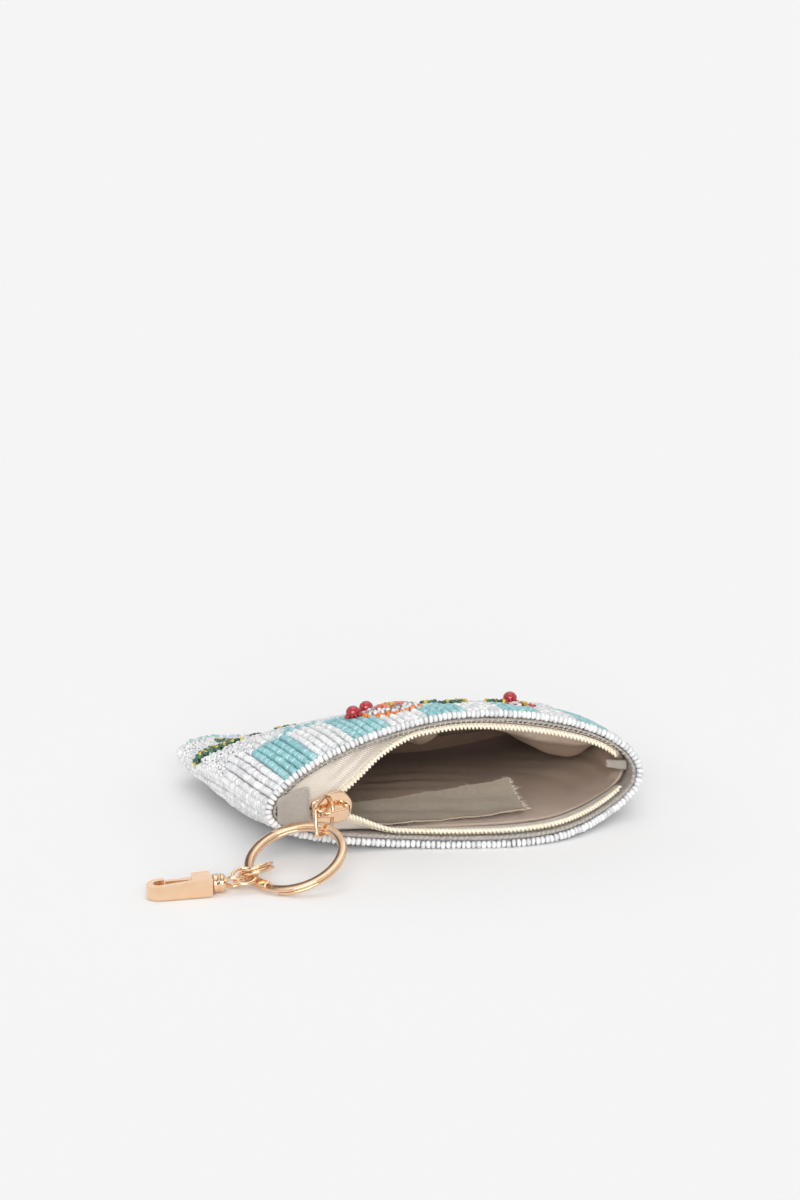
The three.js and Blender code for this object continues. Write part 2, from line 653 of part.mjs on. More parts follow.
function linkRing() {
  const side = LINK_NORMAL.clone().cross(LINK_SIDE);
  return woundWire({
    centre: LINK_CENTRE, up: LINK_SIDE, side, axis: LINK_NORMAL, mean: LINK_MEAN,
    corners: hexCorners(LINK_WIRE), turns: 1, pitch: 0, from: 0, steps: 18,
  });
}

// The swivel eye: a round loop on a collar, with a headed stem that turns in the clasp.
const EYE_MEAN = (EYE_OUTER_DIAMETER - EYE_WIRE) / 2;
const LINK_TO_EYE = vec(-0.99998939594, 0.00460521432, 0).normalize();
const EYE_SEAT = LINK_MEAN + EYE_MEAN - LINK_WIRE / 2 - EYE_WIRE / 2 - EYE_SLACK;
const EYE_CENTRE = LINK_CENTRE.clone().addScaledVector(LINK_TO_EYE, EYE_SEAT).setZ(CLASP_AXIS_HEIGHT);
const COLLAR_START = EYE_MEAN - 0.2;
const CLASP_START = COLLAR_START + COLLAR_LENGTH + GAP;

// A frame with X along the clasp's axis, Z up and its origin at the eye's centre.
const claspFrame = new THREE.Matrix4()
  .makeBasis(CLASP_AXIS, vec(0, 0, 1).cross(CLASP_AXIS), vec(0, 0, 1))
  .setPosition(EYE_CENTRE);

const STEM_WALL = 2.4;
function eyeGeometry() {
  const turned = radians(EYE_TURN);
  const loop = solid(woundWire({
    centre: vec(0, 0, 0), up: vec(1, 0, 0), side: vec(0, Math.cos(turned), Math.sin(turned)),
    axis: vec(0, -Math.sin(turned), Math.cos(turned)), mean: EYE_MEAN,
    corners: hexCorners(EYE_WIRE), turns: 1, pitch: 0, from: 0, steps: 20,
  }));
  const collar = rod(COLLAR_DIAMETER, COLLAR_LENGTH, "x", COLLAR_START + COLLAR_LENGTH / 2, 0, 0, 20);
  const stemLong = STEM_WALL + 3 * GAP + 0.8;
  const stem = rod(STEM_DIAMETER, stemLong, "x", CLASP_START - GAP + stemLong / 2 - 0.1, 0, 0, 12);
  const head = rod(STEM_HEAD_DIAMETER, 0.7, "x", CLASP_START + STEM_WALL + GAP + 0.35, 0, 0, 12);
  return geometryOf([collar, stem, head].reduce((all, s) => all.add(s), loop)).applyMatrix4(claspFrame);
}

// The clasp in the same frame, from its flat end at CLASP_START to its round nose.
const claspX = (along) => CLASP_START + along;
const NOSE_RADIUS = CLASP_WIDTH / 2;
function claspOutline(inset) {
  const half = CLASP_WIDTH / 2 - inset;
  const straight = CLASP_LENGTH - NOSE_RADIUS;
  const start = inset ? HOOK_OPENING_START : 0;
  const points = [[claspX(start), -half]];
  const steps = 12;
  for (let i = 0; i <= steps; i += 1) {
    const a = -Math.PI / 2 + (Math.PI * i) / steps;
    points.push([claspX(straight) + half * Math.cos(a), half * Math.sin(a)]);
  }
  points.push([claspX(start), half]);
  return points;
}

const GATE_PIVOT = vec(claspX(GATE_PIVOT_X), CLASP_WIDTH / 2 - HOOK_BAR / 2, 0);
const GATE_ROOT = 1.5;

function gateOutline(extra) {
  const y = GATE_PIVOT.y;
  const x = GATE_PIVOT.x;
  const r = GATE_ROOT + extra;
  const points = [];
  const steps = 8;
  for (let i = 0; i <= steps; i += 1) {
    const a = Math.PI / 2 + (Math.PI * i) / steps;
    points.push([x + r * Math.cos(a), y + r * Math.sin(a)]);
  }
  const end = x + GATE_LENGTH + extra;
  const bar = GATE_BAR / 2 + extra;
  points.push([x + 1.6, y - bar], [end, y - bar], [end, y + bar], [x + 4.2, y + bar]);
  points.push([x + 3.2, y + bar + 0.7 - extra], [x + 1.0, y + bar + 0.9 - extra]);
  return points;
}

function claspBody() {
  const whole = solid(plate(claspOutline(0), CLASP_THICK_END));
  const opening = solid(plate(claspOutline(HOOK_BAR), CLASP_THICK_END + 2));
  const top = CLASP_THICK_END / 2;
  const fall = Math.atan((CLASP_THICK_END - CLASP_THIN_END) / CLASP_LENGTH);
  const long = CLASP_LENGTH * 2;
  const wedge = solid(new THREE.BoxGeometry(long, CLASP_WIDTH * 2, 4)
    .translate(long / 2, 0, 2)
    .rotateY(fall)
    .translate(claspX(2), 0, top));
  const room = solid(plate(gateOutline(GAP), GATE_THICKNESS + 2 * GAP));
  const window = boxAt(
    GATE_LENGTH + GATE_ROOT + GAP - 2.2, HOOK_BAR + 1.4, CLASP_THICK_END + 2,
    GATE_PIVOT.x + 2.2 + (GATE_LENGTH + GATE_ROOT + GAP - 2.2) / 2 - GATE_ROOT, GATE_PIVOT.y + 0.5, 0);
  const swing = solid(plate([
    [GATE_PIVOT.x - GATE_ROOT - GAP, GATE_PIVOT.y],
    [GATE_PIVOT.x - 0.4, GATE_PIVOT.y - GATE_ROOT - GAP - 0.2],
    [claspX(HOOK_OPENING_START + 1), GATE_PIVOT.y - GATE_ROOT - 2.2],
    [claspX(HOOK_OPENING_START + 1), GATE_PIVOT.y + 1],
    [GATE_PIVOT.x, CLASP_WIDTH / 2 + 1],
    [GATE_PIVOT.x - GATE_ROOT - GAP - 0.6, CLASP_WIDTH / 2 + 1],
  ], GATE_THICKNESS + 2 * GAP));
  const bore = rod(STEM_DIAMETER + 2 * GAP, STEM_WALL + 2, "x", claspX(STEM_WALL / 2), 0, 0, 12);
  const headRoom = rod(
    STEM_HEAD_DIAMETER + 2 * GAP, HOOK_OPENING_START - STEM_WALL + 1, "x",
    claspX(STEM_WALL + (HOOK_OPENING_START - STEM_WALL + 1) / 2), 0, 0, 12);
  const pin = rod(PIVOT_PIN, CLASP_THICK_END - 1.4, "z", GATE_PIVOT.x, GATE_PIVOT.y, 0, 12);
  const cut = [opening, wedge, room, window, swing, bore, headRoom].reduce((all, s) => all.subtract(s), whole);
  return outward(geometryOf(cut.add(pin)).scale(1, -1, 1)).applyMatrix4(claspFrame);
}

function claspGate() {
  const lever = solid(plate(gateOutline(0), GATE_THICKNESS));
  const hole = rod(PIVOT_PIN + 2 * GAP, GATE_THICKNESS * 2, "z", GATE_PIVOT.x, GATE_PIVOT.y, 0, 12);
  return outward(geometryOf(lever.subtract(hole)).scale(1, -1, 1)).applyMatrix4(claspFrame);
}

// A thin bent plate through a grid of points, thickened along a direction.
function bentPlate(columns, rows, place) {
  const rings = Array.from({ length: columns + 1 }, (_, i) => {
    const front = [];
    const rear = [];
    for (let j = 0; j <= rows; j += 1) {
      const { near, far } = place(i / columns, j / rows);
      front.push(near);
      rear.unshift(far);
    }
    return front.concat(rear);
  });
  return ringSkin(rings);
}

// Linen end tab over the closed end of the zip, curved round the pouch's left end.
function leftTab() {
  const standOff = COIL_THICKNESS / 2 + GAP;
  const start = -MOUTH_HALF + EDGE_BEAD + 4 * GAP;
  return bentPlate(6, 4, (u, v) => {
    const x = start + LEFT_TAB_WIDTH * u;
    const z = SEAM_HEIGHT + LEFT_TAB_LIFT + LEFT_TAB_HEIGHT * (v - 0.5) * (0.4 + 0.6 * Math.sqrt(u));
    const bow = 0.9 * (1 - u) ** 2;
    const y = MOUTH.y - CLOSED_ZIP_PROUD - standOff - 0.5 + bow - 0.5 * Math.sin(Math.PI * v);
    return { near: vec(x, y - TAB_THICKNESS, z), far: vec(x, y, z) };
  });
}

// Small folded tab inside the right end, where the two tapes part.
function rightTab() {
  const right = MOUTH_HALF - TAPE_INSET - 0.15;
  return bentPlate(4, 2, (u, v) => {
    const x = right - RIGHT_TAB_LENGTH * u;
    const z = SEAM_HEIGHT + 0.6 + RIGHT_TAB_HEIGHT * (v - 0.5) * (1 - 0.25 * u) + 0.8 * u;
    const y = MOUTH.y + 3.2 + 1.5 * u;
    return { near: vec(x, y - 1, z), far: vec(x, y + 1, z) };
  });
}

// The woven label lies on the lining of the lower panel, its far edge a little lifted.
function labelGeometry() {
  const sink = LINING_INSET + LINING_WALL + GAP;
  return bentPlate(12, 3, (u, v) => {
    const x = LABEL_CENTRE_X + LABEL_LENGTH * (u - 0.5);
    const y = MOUTH.y + LABEL_SETBACK + LABEL_WIDTH * v + 2 * Math.sin(Math.PI * u) - 4 * u;
    const end = Math.abs(2 * u - 1);
    const low = sink + 0.6 + 1.6 * end ** 3 + (LABEL_LEFT_LIFT + (LABEL_RIGHT_LIFT - LABEL_LEFT_LIFT) * u) * v * v;
    return { near: vec(x, y, low + LABEL_THICKNESS), far: vec(x, y, low) };
  });
}

// A berry: a domed bead on the top panel, seated a gap above the surface.
function surfaceFrame(across, depth) {
  const x = across * halfWidth(depth);
  const exponent = 2 / section(quarter(across, 1), depth);
  const turn = Math.acos(Math.sign(across) * Math.abs(across) ** (1 / exponent));
  const at = bodyPoint(turn, depth, 0);
  const sideways = bodyPoint(turn - 0.02, depth, 0).sub(at);
  const backwards = bodyPoint(turn, depth + 0.01, 0).sub(at);
  return { x, at, normal: sideways.cross(backwards).normalize() };
}

function berryGeometry({ across, depth }) {
  const r = BERRY_DIAMETER / 2;
  const steps = 4;
  const profile = [new THREE.Vector2(0, 0), new THREE.Vector2(r * 0.8, 0)];
  for (let i = 0; i <= steps; i += 1) {
    const a = (Math.PI / 2) * (i / steps);
    profile.push(new THREE.Vector2(i === steps ? 0 : r * Math.cos(a), BERRY_HEIGHT * (0.3 + 0.7 * Math.sin(a))));
  }
  const { at, normal } = surfaceFrame(across, depth);
  const stand = new THREE.Quaternion().setFromUnitVectors(vec(0, 1, 0), normal);
  const place = new THREE.Matrix4().makeRotationFromQuaternion(stand);
  place.setPosition(at.addScaledVector(normal, GAP));
  return new THREE.LatheGeometry(profile, 12).applyMatrix4(place);
}

const FINISHES = {
  whiteBeads: { color: 0xe9ecec, roughness: 0.35, metalness: 0 },
  lining: { color: 0xe6dccb, roughness: 0.85, metalness: 0 },
  linen: { color: 0xcdc4b6, roughness: 0.9, metalness: 0 },
  tape: { color: 0xece0c8, roughness: 0.8, metalness: 0 },
  coil: { color: 0xf0e2c6, roughness: 0.5, metalness: 0 },
  label: { color: 0xe0d2b8, roughness: 0.95, metalness: 0 },
  roseGold: { color: 0xe0b088, roughness: 0.22, metalness: 1 },
  berry: { color: 0x9c1226, roughness: 0.2, metalness: 0 },
};

const pouch = new THREE.Group();
function addPiece(name, geometry, finish) {
  const mesh = new THREE.Mesh(geometry, new THREE.MeshStandardMaterial(FINISHES[finish]));
  mesh.name = name;
  pouch.add(mesh);
  return mesh;
}

addPiece("beaded_shell", beadedShell(), "whiteBeads");
addPiece("edge_bead_rope", edgeBeadRope(), "whiteBeads");
addPiece("lining_bag", liningBag(), "lining");
addPiece("linen_edge", linenEdge(), "linen");
addPiece("zip_tape_top", zipTape(true), "tape");
addPiece("zip_tape_bottom", zipTape(false), "tape");
addPiece("zip_coil_top", zipCoil(true), "coil");
addPiece("zip_coil_bottom", zipCoil(false), "coil");
addPiece("zip_end_tab_left", leftTab(), "linen");
addPiece("zip_end_tab_right", rightTab(), "linen");
addPiece("woven_label", labelGeometry(), "label");

const slider = addPiece("zip_slider", sliderGeometry(), "roseGold");
slider.position.copy(SLIDER_PLACE);
slider.rotation.copy(SLIDER_TURN);

addPiece("kite_pull", pullGeometry(), "roseGold");
addPiece("split_ring", splitRing(), "roseGold");
addPiece("double_jump_ring", jumpRing(), "roseGold");
addPiece("small_link", linkRing(), "roseGold");
addPiece("swivel_eye", eyeGeometry(), "roseGold");
addPiece("clasp_hook", claspBody(), "roseGold");
addPiece("clasp_gate", claspGate(), "roseGold");

for (const berry of BERRIES) addPiece(berry.name, berryGeometry(berry), "berry");

export default pouch;
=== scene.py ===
# %% [markdown]
# A beaded coin pouch with an open zip, a split ring and a swivel clasp.
# The CAD model is already packed as a fixed frame. It could be dressed by eye, but here every piece
# is worked out from the same sizes, so cloth, beads and metal land where the solids are.

# %% Load the frame
import math
import bpy
import numpy as np
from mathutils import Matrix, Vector


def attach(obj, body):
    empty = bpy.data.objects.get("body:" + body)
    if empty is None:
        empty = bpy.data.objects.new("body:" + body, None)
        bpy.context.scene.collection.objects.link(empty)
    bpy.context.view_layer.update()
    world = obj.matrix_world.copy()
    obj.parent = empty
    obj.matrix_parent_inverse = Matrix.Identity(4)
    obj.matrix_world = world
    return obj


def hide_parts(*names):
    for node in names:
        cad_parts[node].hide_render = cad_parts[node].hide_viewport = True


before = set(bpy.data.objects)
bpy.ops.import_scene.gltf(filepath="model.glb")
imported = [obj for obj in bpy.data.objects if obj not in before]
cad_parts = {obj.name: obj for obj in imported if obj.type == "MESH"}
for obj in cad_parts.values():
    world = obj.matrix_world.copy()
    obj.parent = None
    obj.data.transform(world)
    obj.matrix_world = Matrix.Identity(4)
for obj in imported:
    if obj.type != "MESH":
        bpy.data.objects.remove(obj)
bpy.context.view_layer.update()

MM = 0.001
rng = np.random.default_rng(7)

# %% [markdown]
# The camera comes first, because it decides which details are worth making.
# A real camera could be matched by eye, but this one was solved from the mouth's width, the ring and
# the far corner. The photograph was taken from low down with a long lens, so lines hardly converge.

# %% Camera
camera_data = bpy.data.cameras.new("table camera")
camera_data.lens = 90.2
camera_data.sensor_width = 36
camera_data.clip_start = 0.01
camera = bpy.data.objects.new("table camera", camera_data)
bpy.context.scene.collection.objects.link(camera)
camera.location = (-0.308, -0.822, 0.2974)
camera.rotation_euler = (math.radians(75.3), 0, math.radians(-20))
bpy.context.scene.camera = camera
print("camera stands", round(camera.location.length, 3), "m from the pouch")

# %% [markdown]
# A pouch is a soft tube that is flat at its back edge and open at its mouth.
# It could be sculpted, but a short table of sections is easier to correct: each row says how high
# and how square the bag is at a share of its depth, and a smooth curve runs through the rows.

# %% Body sizes
MOUTH_HALF = 60.5
BACK_HALF = 64.6
DEPTH = 83.4
SEAM_HEIGHT = 14.7
CROWN_RISE = 23.9
MOUTH_Y = -25.0
CORNER_RADIUS = 7.0
LIP_BULGE = 14.6
LIP_BULGE_X = 24.5
BEADED_WALL = 2.3
GAP = 0.3
SECTION_KEYS = (
    "depth", "rise", "drop", "seam", "sag", "top_left", "top_right", "low_left", "low_right")
SECTIONS = np.array([
    (0.00, 1.00, 1.00, 1.00, 0.00, 1.70, 1.86, 2.05, 2.90),
    (0.15, 0.96, 1.08, 0.99, 0.00, 1.87, 1.82, 2.34, 2.89),
    (0.32, 0.86, 1.15, 0.97, 0.03, 2.07, 1.80, 2.67, 2.88),
    (0.50, 0.75, 0.90, 0.88, 0.09, 2.27, 1.85, 2.95, 2.88),
    (0.68, 0.55, 0.66, 0.75, 0.17, 2.60, 2.24, 2.96, 2.87),
    (0.84, 0.38, 0.50, 0.64, 0.24, 2.90, 2.72, 2.91, 2.86),
    (0.95, 0.30, 0.38, 0.66, 0.28, 3.10, 3.00, 2.87, 2.86),
    (1.00, 0.22, 0.24, 0.70, 0.28, 3.10, 3.10, 2.85, 2.85),
])
print(len(SECTIONS), "sections from the mouth to the back edge")

# %% [markdown]
# Between the rows of the table the bag has to run without bumps. Straight lines would leave a crease
# at every row, so a smooth curve reads each column. One function then gives any point of the bag from
# a turn about it, a share of its depth and a distance in from its surface.


# %% Body surface
def read_column(table, column, at):
    knots = table[:, 0]
    values = table[:, column]
    at = np.clip(at, knots[0], knots[-1])
    i = np.clip(np.searchsorted(knots, at, side="left") - 1, 0, len(knots) - 2)
    slopes = np.zeros(len(knots))
    slopes[1:-1] = (values[2:] - values[:-2]) / (knots[2:] - knots[:-2])
    width = knots[i + 1] - knots[i]
    s = np.clip((at - knots[i]) / width, 0, 1)
    rise = 3 * s**2 - 2 * s**3
    pull = slopes[i] * s * (1 - s) ** 2 + slopes[i + 1] * s**2 * (s - 1)
    return values[i] + (values[i + 1] - values[i]) * rise + width * pull


def section(name, depth):
    return read_column(SECTIONS, SECTION_KEYS.index(name), depth)


def half_width(depth):
    spread = MOUTH_HALF + (BACK_HALF - MOUTH_HALF) * (1 - (1 - depth) ** 2)
    corner = np.clip((depth * DEPTH - (DEPTH - CORNER_RADIUS)) / CORNER_RADIUS, 0, 1)
    return spread - CORNER_RADIUS * (1 - np.sqrt(1 - corner**2))


def lip_bulge(x):
    away = (x - LIP_BULGE_X) / np.where(x < LIP_BULGE_X, 40, 33)
    end = np.minimum(1, np.abs(x) / MOUTH_HALF)
    return LIP_BULGE * np.exp(-away**2) * (1 - end**8)


def body_point(turn, depth, inset):
    turn, depth, inset = np.broadcast_arrays(*(np.asarray(v, float) for v in (turn, depth, inset)))
    c = np.cos(turn)
    s = np.sin(turn)
    low = np.where(c < 0, section("low_left", depth), section("low_right", depth))
    high = np.where(c < 0, section("top_left", depth), section("top_right", depth))
    exponent = 2 / np.where(s < 0, low, high)
    side = np.sign(c) * np.abs(c) ** exponent
    x = (half_width(depth) - inset) * side
    height = np.abs(s) ** exponent
    middle = SEAM_HEIGHT * (section("seam", depth) - section("sag", depth) * (1 - side**2))
    up = middle + (CROWN_RISE * section("rise", depth) - inset) * height
    down = middle - (SEAM_HEIGHT * section("drop", depth) - inset) * height
    z = np.where(s < 0, down, up)
    lip = np.where(s < 0, -lip_bulge(x) * height**2, 3.2 * height)
    back = DEPTH - inset - 3 * (1 - side**2)
    y = MOUTH_Y + back * depth + lip * (1 - depth) ** 3
    return np.stack([x, y, np.maximum(z, inset)], axis=-1)


def mouth_point(turn, inset, back):
    back = np.asarray(back, float)
    point = body_point(turn, np.maximum(back, 0) / DEPTH, inset)
    point[..., 1] += np.minimum(back, 0)
    return point


print("crown", body_point(math.pi / 2, 0.1, 0).round(1), "lip", body_point(-1.2, 0, 0).round(1))

# %% [markdown]
# Thousands of beads and threads would be slow as separate objects.
# They could be instances, but one joined mesh built from arrays loads fast, so
# these helpers turn arrays of points and faces into a mesh that rides on a body of the frame.


# %% Helpers that make meshes
def mesh_piece(name, points, faces, material, slot, body="pouch", uv=None):
    mesh = bpy.data.meshes.new(name)
    mesh.from_pydata((np.asarray(points) * MM).tolist(), [], np.asarray(faces).tolist())
    if uv is not None:
        layer = mesh.uv_layers.new(name="lay")
        corners = np.empty(len(mesh.loops), dtype=np.int32)
        mesh.loops.foreach_get("vertex_index", corners)
        layer.data.foreach_set("uv", np.asarray(uv, np.float32)[corners].ravel())
    mesh.polygons.foreach_set("use_smooth", [True] * len(mesh.polygons))
    mesh.materials.append(material)
    obj = bpy.data.objects.new(name, mesh)
    bpy.context.scene.collection.objects.link(obj)
    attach(obj, body)
    print(name, len(mesh.polygons), "faces")
    return obj


def grid_faces(rows, columns, wrap_rows=False, wrap_columns=False):
    r = np.arange(rows if wrap_rows else rows - 1)
    c = np.arange(columns if wrap_columns else columns - 1)
    r, c = (a.ravel() for a in np.meshgrid(r, c, indexing="ij"))
    r2 = (r + 1) % rows
    c2 = (c + 1) % columns
    return np.stack([r * columns + c, r * columns + c2, r2 * columns + c2, r2 * columns + c], axis=1)


def skin(rings, closed=False):
    faces = grid_faces(rings.shape[0], rings.shape[1], wrap_rows=closed, wrap_columns=True)
    return rings.reshape(-1, 3), faces


def capped(rings):
    ends = np.repeat(rings.mean(axis=1, keepdims=True), rings.shape[1], axis=1)
    return np.concatenate([ends[:1], rings, ends[-1:]])


def unit(v):
    return v / np.maximum(np.linalg.norm(v, axis=-1, keepdims=True), 1e-9)


def run_of(line):
    return np.concatenate([[0], np.cumsum(np.linalg.norm(np.diff(line, axis=0), axis=1))])


def read_line(at, run, line):
    return np.stack([np.interp(at, run, line[:, k]) for k in range(3)], axis=1)


def copies(template, faces, centres, axes, normals, scale=1.0):
    axes = unit(axes)
    across = unit(np.cross(normals, axes))
    normals = np.cross(axes, across)
    scale = np.broadcast_to(np.asarray(scale, float), (len(centres), 3))
    basis = np.stack([axes, across, normals], axis=1)
    scaled = template[None] * scale[:, None, :]
    points = centres[:, None] + np.einsum("nki,nij->nkj", scaled, basis)
    steps = np.arange(len(centres))[:, None, None] * len(template)
    return points.reshape(-1, 3), (faces[None] + steps).reshape(-1, faces.shape[1])


def tube(path, sides, radius, closed=False, start_normal=(0, 0, 1)):
    path = np.asarray(path, float)
    if closed:
        tangent = unit(np.roll(path, -1, 0) - np.roll(path, 1, 0))
    else:
        tangent = unit(np.gradient(path, axis=0))
    across = unit(np.cross(np.asarray(start_normal, float), tangent))
    normal = np.cross(tangent, across)
    angle = 2 * np.pi * np.arange(sides) / sides
    c = np.cos(angle)[None, :, None]
    s = np.sin(angle)[None, :, None]
    ring = c * across[:, None] + s * normal[:, None]
    radius = np.broadcast_to(np.asarray(radius, float), (len(path),))
    points = path[:, None] + ring * radius[:, None, None]
    return skin(points, closed)


def join(parts):
    points = []
    faces = []
    start = 0
    for p, f in parts:
        points.append(p)
        faces.append(f + start)
        start += len(p)
    return np.concatenate(points), np.concatenate(faces)


print("a bead's axis lies along its thread, and its normal points off the cloth")

# %% [markdown]
# Each finish is a small node tree. Glass beads differ one by one, which a picture texture could
# paint, but Random Per Island gives each bead of a joined mesh its own shade with no picture.


# %% Helpers that make finishes
def finish_of(name, color, roughness, metallic=0.0, **sockets):
    material = bpy.data.materials.new(name)
    material.use_nodes = True
    tree = material.node_tree
    shader = tree.nodes["Principled BSDF"]
    shader.inputs["Base Color"].default_value = (*color, 1)
    shader.inputs["Roughness"].default_value = roughness
    shader.inputs["Metallic"].default_value = metallic
    for socket, value in sockets.items():
        shader.inputs[socket.replace("_", " ")].default_value = value
    material.diffuse_color = (*color, 1)
    return material, tree, shader


def node(tree, kind, inputs=None, **settings):
    made = tree.nodes.new("ShaderNode" + kind)
    for key, value in settings.items():
        setattr(made, key, value)
    for key, value in (inputs or {}).items():
        socket = made.inputs[key]
        if isinstance(value, bpy.types.NodeSocket):
            tree.links.new(value, socket)
        else:
            socket.default_value = value
    return made


def object_place(tree):
    return node(tree, "TexCoord").outputs["Object"]


def multiply(tree, first, second):
    made = node(tree, "Mix", data_type="RGBA", blend_type="MULTIPLY")
    made.inputs[0].default_value = 1.0
    tree.links.new(first, made.inputs[6])
    tree.links.new(second, made.inputs[7])
    return made.outputs[2]


def ramp(tree, factor, stops):
    made = node(tree, "ValToRGB", {"Fac": factor})
    elements = made.color_ramp.elements
    while len(elements) < len(stops):
        elements.new(0.5)
    for element, (place, color) in zip(elements, stops):
        element.position = place
        element.color = (*color, 1)
    return made.outputs["Color"]


def bump(tree, shader, height, distance, strength=1.0):
    made = node(tree, "Bump", {"Height": height, "Distance": distance, "Strength": strength})
    tree.links.new(made.outputs["Normal"], shader.inputs["Normal"])


def bead_finish(name, dark, middle, light, roughness, **sockets):
    material, tree, shader = finish_of(name, middle, roughness, **sockets)
    geometry = node(tree, "NewGeometry")
    shade = ramp(tree, geometry.outputs["Random Per Island"], [(0.0, dark), (0.5, middle), (1.0, light)])
    cloud = node(tree, "TexNoise", {"Vector": object_place(tree), "Scale": 900.0, "Detail": 2.0})
    streak = ramp(tree, cloud.outputs["Fac"], [(0.35, (0.9, 0.9, 0.9)), (0.65, (1.0, 1.0, 1.0))])
    tree.links.new(multiply(tree, shade, streak), shader.inputs["Base Color"])
    return material


white_glass = bead_finish(
    "white glass beads", (0.66, 0.67, 0.69), (0.80, 0.805, 0.81), (0.92, 0.92, 0.92), 0.26,
    Coat_Weight=0.5, Coat_Roughness=0.08)
aqua_glass = bead_finish(
    "aqua glass beads", (0.22, 0.50, 0.53), (0.30, 0.60, 0.63), (0.42, 0.70, 0.72), 0.2,
    Coat_Weight=0.6, Coat_Roughness=0.06)
print("made", white_glass.name, "and", aqua_glass.name)

# %% [markdown]
# Seed beads on the real pouch are sewn in rows that run from the mouth to the closed edge.
# A texture of dots would look flat at this size, so each bead is a small barrel of its own. The rows
# keep an equal share of the way round the bag at every depth, as rows on real cloth do.

# %% Rows of places for beads
ROW_PITCH = 2.42
ROW_SHIFT = 0.77
BEAD_RADIUS = 1.17
BEAD_LENGTH = 1.44
BEAD_STEP = 1.52
DEPTH_STEPS = 64
CAP_STEPS = 6


def cap_rings(last, inset, reach, steps):
    side = np.clip(last[:, 0] / (half_width(np.array(1.0)) - inset), -1, 1)
    seam = SEAM_HEIGHT * (section("seam", 1.0) - section("sag", 1.0) * (1 - side**2))
    made = []
    for k in range(1, steps + 1):
        a = 0.5 * math.pi * k / steps
        z = seam + (last[:, 2] - seam) * math.cos(a)
        made.append(np.stack([last[:, 0], last[:, 1] + reach * math.sin(a), z], axis=1))
    return made


def panel_paths(shares, top, inset):
    depths = 1 - np.linspace(1, 0, DEPTH_STEPS) ** 1.15
    turns = np.linspace(math.pi, 0 if top else 2 * math.pi, 900)
    lines = []
    for depth in depths:
        line = body_point(turns, depth, inset)
        along = run_of(line)
        centre = np.interp(0, line[:, 0], along)
        left = along[0] - centre
        right = along[-1] - centre
        wanted = centre + np.where(shares < 0, -shares * left, shares * right)
        lines.append(read_line(wanted, along, line))
    return np.array(lines + cap_rings(lines[-1], inset, 1.6, CAP_STEPS))


def half_arc(top):
    turns = np.linspace(math.pi / 2, 0, 300) if top else np.linspace(-math.pi / 2, 0, 300)
    line = body_point(turns, 0.0, BEAD_RADIUS)
    return np.linalg.norm(np.diff(line, axis=0), axis=1).sum()


top_arc = half_arc(True)
under_arc = half_arc(False)
print("half way round the top", top_arc.round(1), "under", under_arc.round(1))

# %% [markdown]
# The pattern is the common one of plain squares in two colours. It could be a list of colours, but
# two lines of arithmetic do it: a square is five rows wide and eighteen beads deep.

# %% Threading the rows
SQUARE_ROWS = 5
SQUARE_BEADS = 18


def thread_row(path, normals, wander):
    along = run_of(path)
    count = int((along[-1] - 0.3) / BEAD_STEP)
    at = (np.arange(count) + 0.5) * BEAD_STEP + wander
    at = at + rng.normal(0, 0.05, count)
    keep = (at > 0.3) & (at < along[-1] - 0.2)
    at = at[keep]
    number = np.arange(count)[keep]
    ahead = read_line(at + 0.4, along, path)
    behind = read_line(at - 0.4, along, path)
    return read_line(at, along, path), unit(ahead - behind), unit(read_line(at, along, normals)), number


def rows_of_beads(top):
    arc = top_arc if top else under_arc
    last_row = int(round((arc - 0.6) / ROW_PITCH))
    rows = np.arange(-last_row - (1 if top else 0), last_row + 1)
    places = rows * ROW_PITCH + (ROW_SHIFT if top else 0)
    shares = np.clip(places / arc, -0.99, 0.99)
    paths = panel_paths(shares, top, BEAD_RADIUS)
    outer = panel_paths(shares, top, 0.0)
    found = [[], [], [], [], []]
    for k, row in enumerate(rows):
        path = paths[:, k].copy()
        wave = np.linspace(0, 9, len(path))
        path[:, 0] += 0.14 * np.sin(wave + row * 1.7) + 0.1 * np.sin(2.3 * wave + row * 0.9)
        normals = unit(outer[:, k] - paths[:, k])
        place, axis, normal, number = thread_row(path, normals, rng.uniform(-0.35, 0.35))
        row_number = np.full(len(number), max(row, -last_row))
        for bag, value in zip(found, (place, axis, normal, number, row_number)):
            bag.append(value)
    return [np.concatenate(bag) for bag in found]


top_place, top_axis, top_normal, top_number, top_row = rows_of_beads(True)
under_place, under_axis, under_normal, under_number = rows_of_beads(False)[:4]
column = np.floor((top_row + 28) / SQUARE_ROWS).astype(int)
square_row = top_number // SQUARE_BEADS
is_aqua = ((column + square_row) % 2 == 1) & ~((column == 0) & (square_row == 1))
print(len(top_place), "beads on top,", is_aqua.sum(), "aqua,", len(under_place), "below")

# %% [markdown]
# A seed bead is a short glass tube with rounded rims. A sphere would be quicker, but it would show
# its pole instead of its hole, so the barrel is a turned profile with an open end.


# %% One bead, and the beaded panels
def barrel(sides, radius, length):
    profile = np.array([(-0.5, 0.34), (-0.4, 0.8), (-0.17, 1.0), (0.17, 1.0), (0.4, 0.8), (0.5, 0.34)])
    angle = 2 * np.pi * np.arange(sides) / sides
    points = np.array([
        (u * length, r * radius * math.cos(a), r * radius * math.sin(a))
        for u, r in profile for a in angle])
    return points, grid_faces(len(profile), sides, wrap_columns=True)


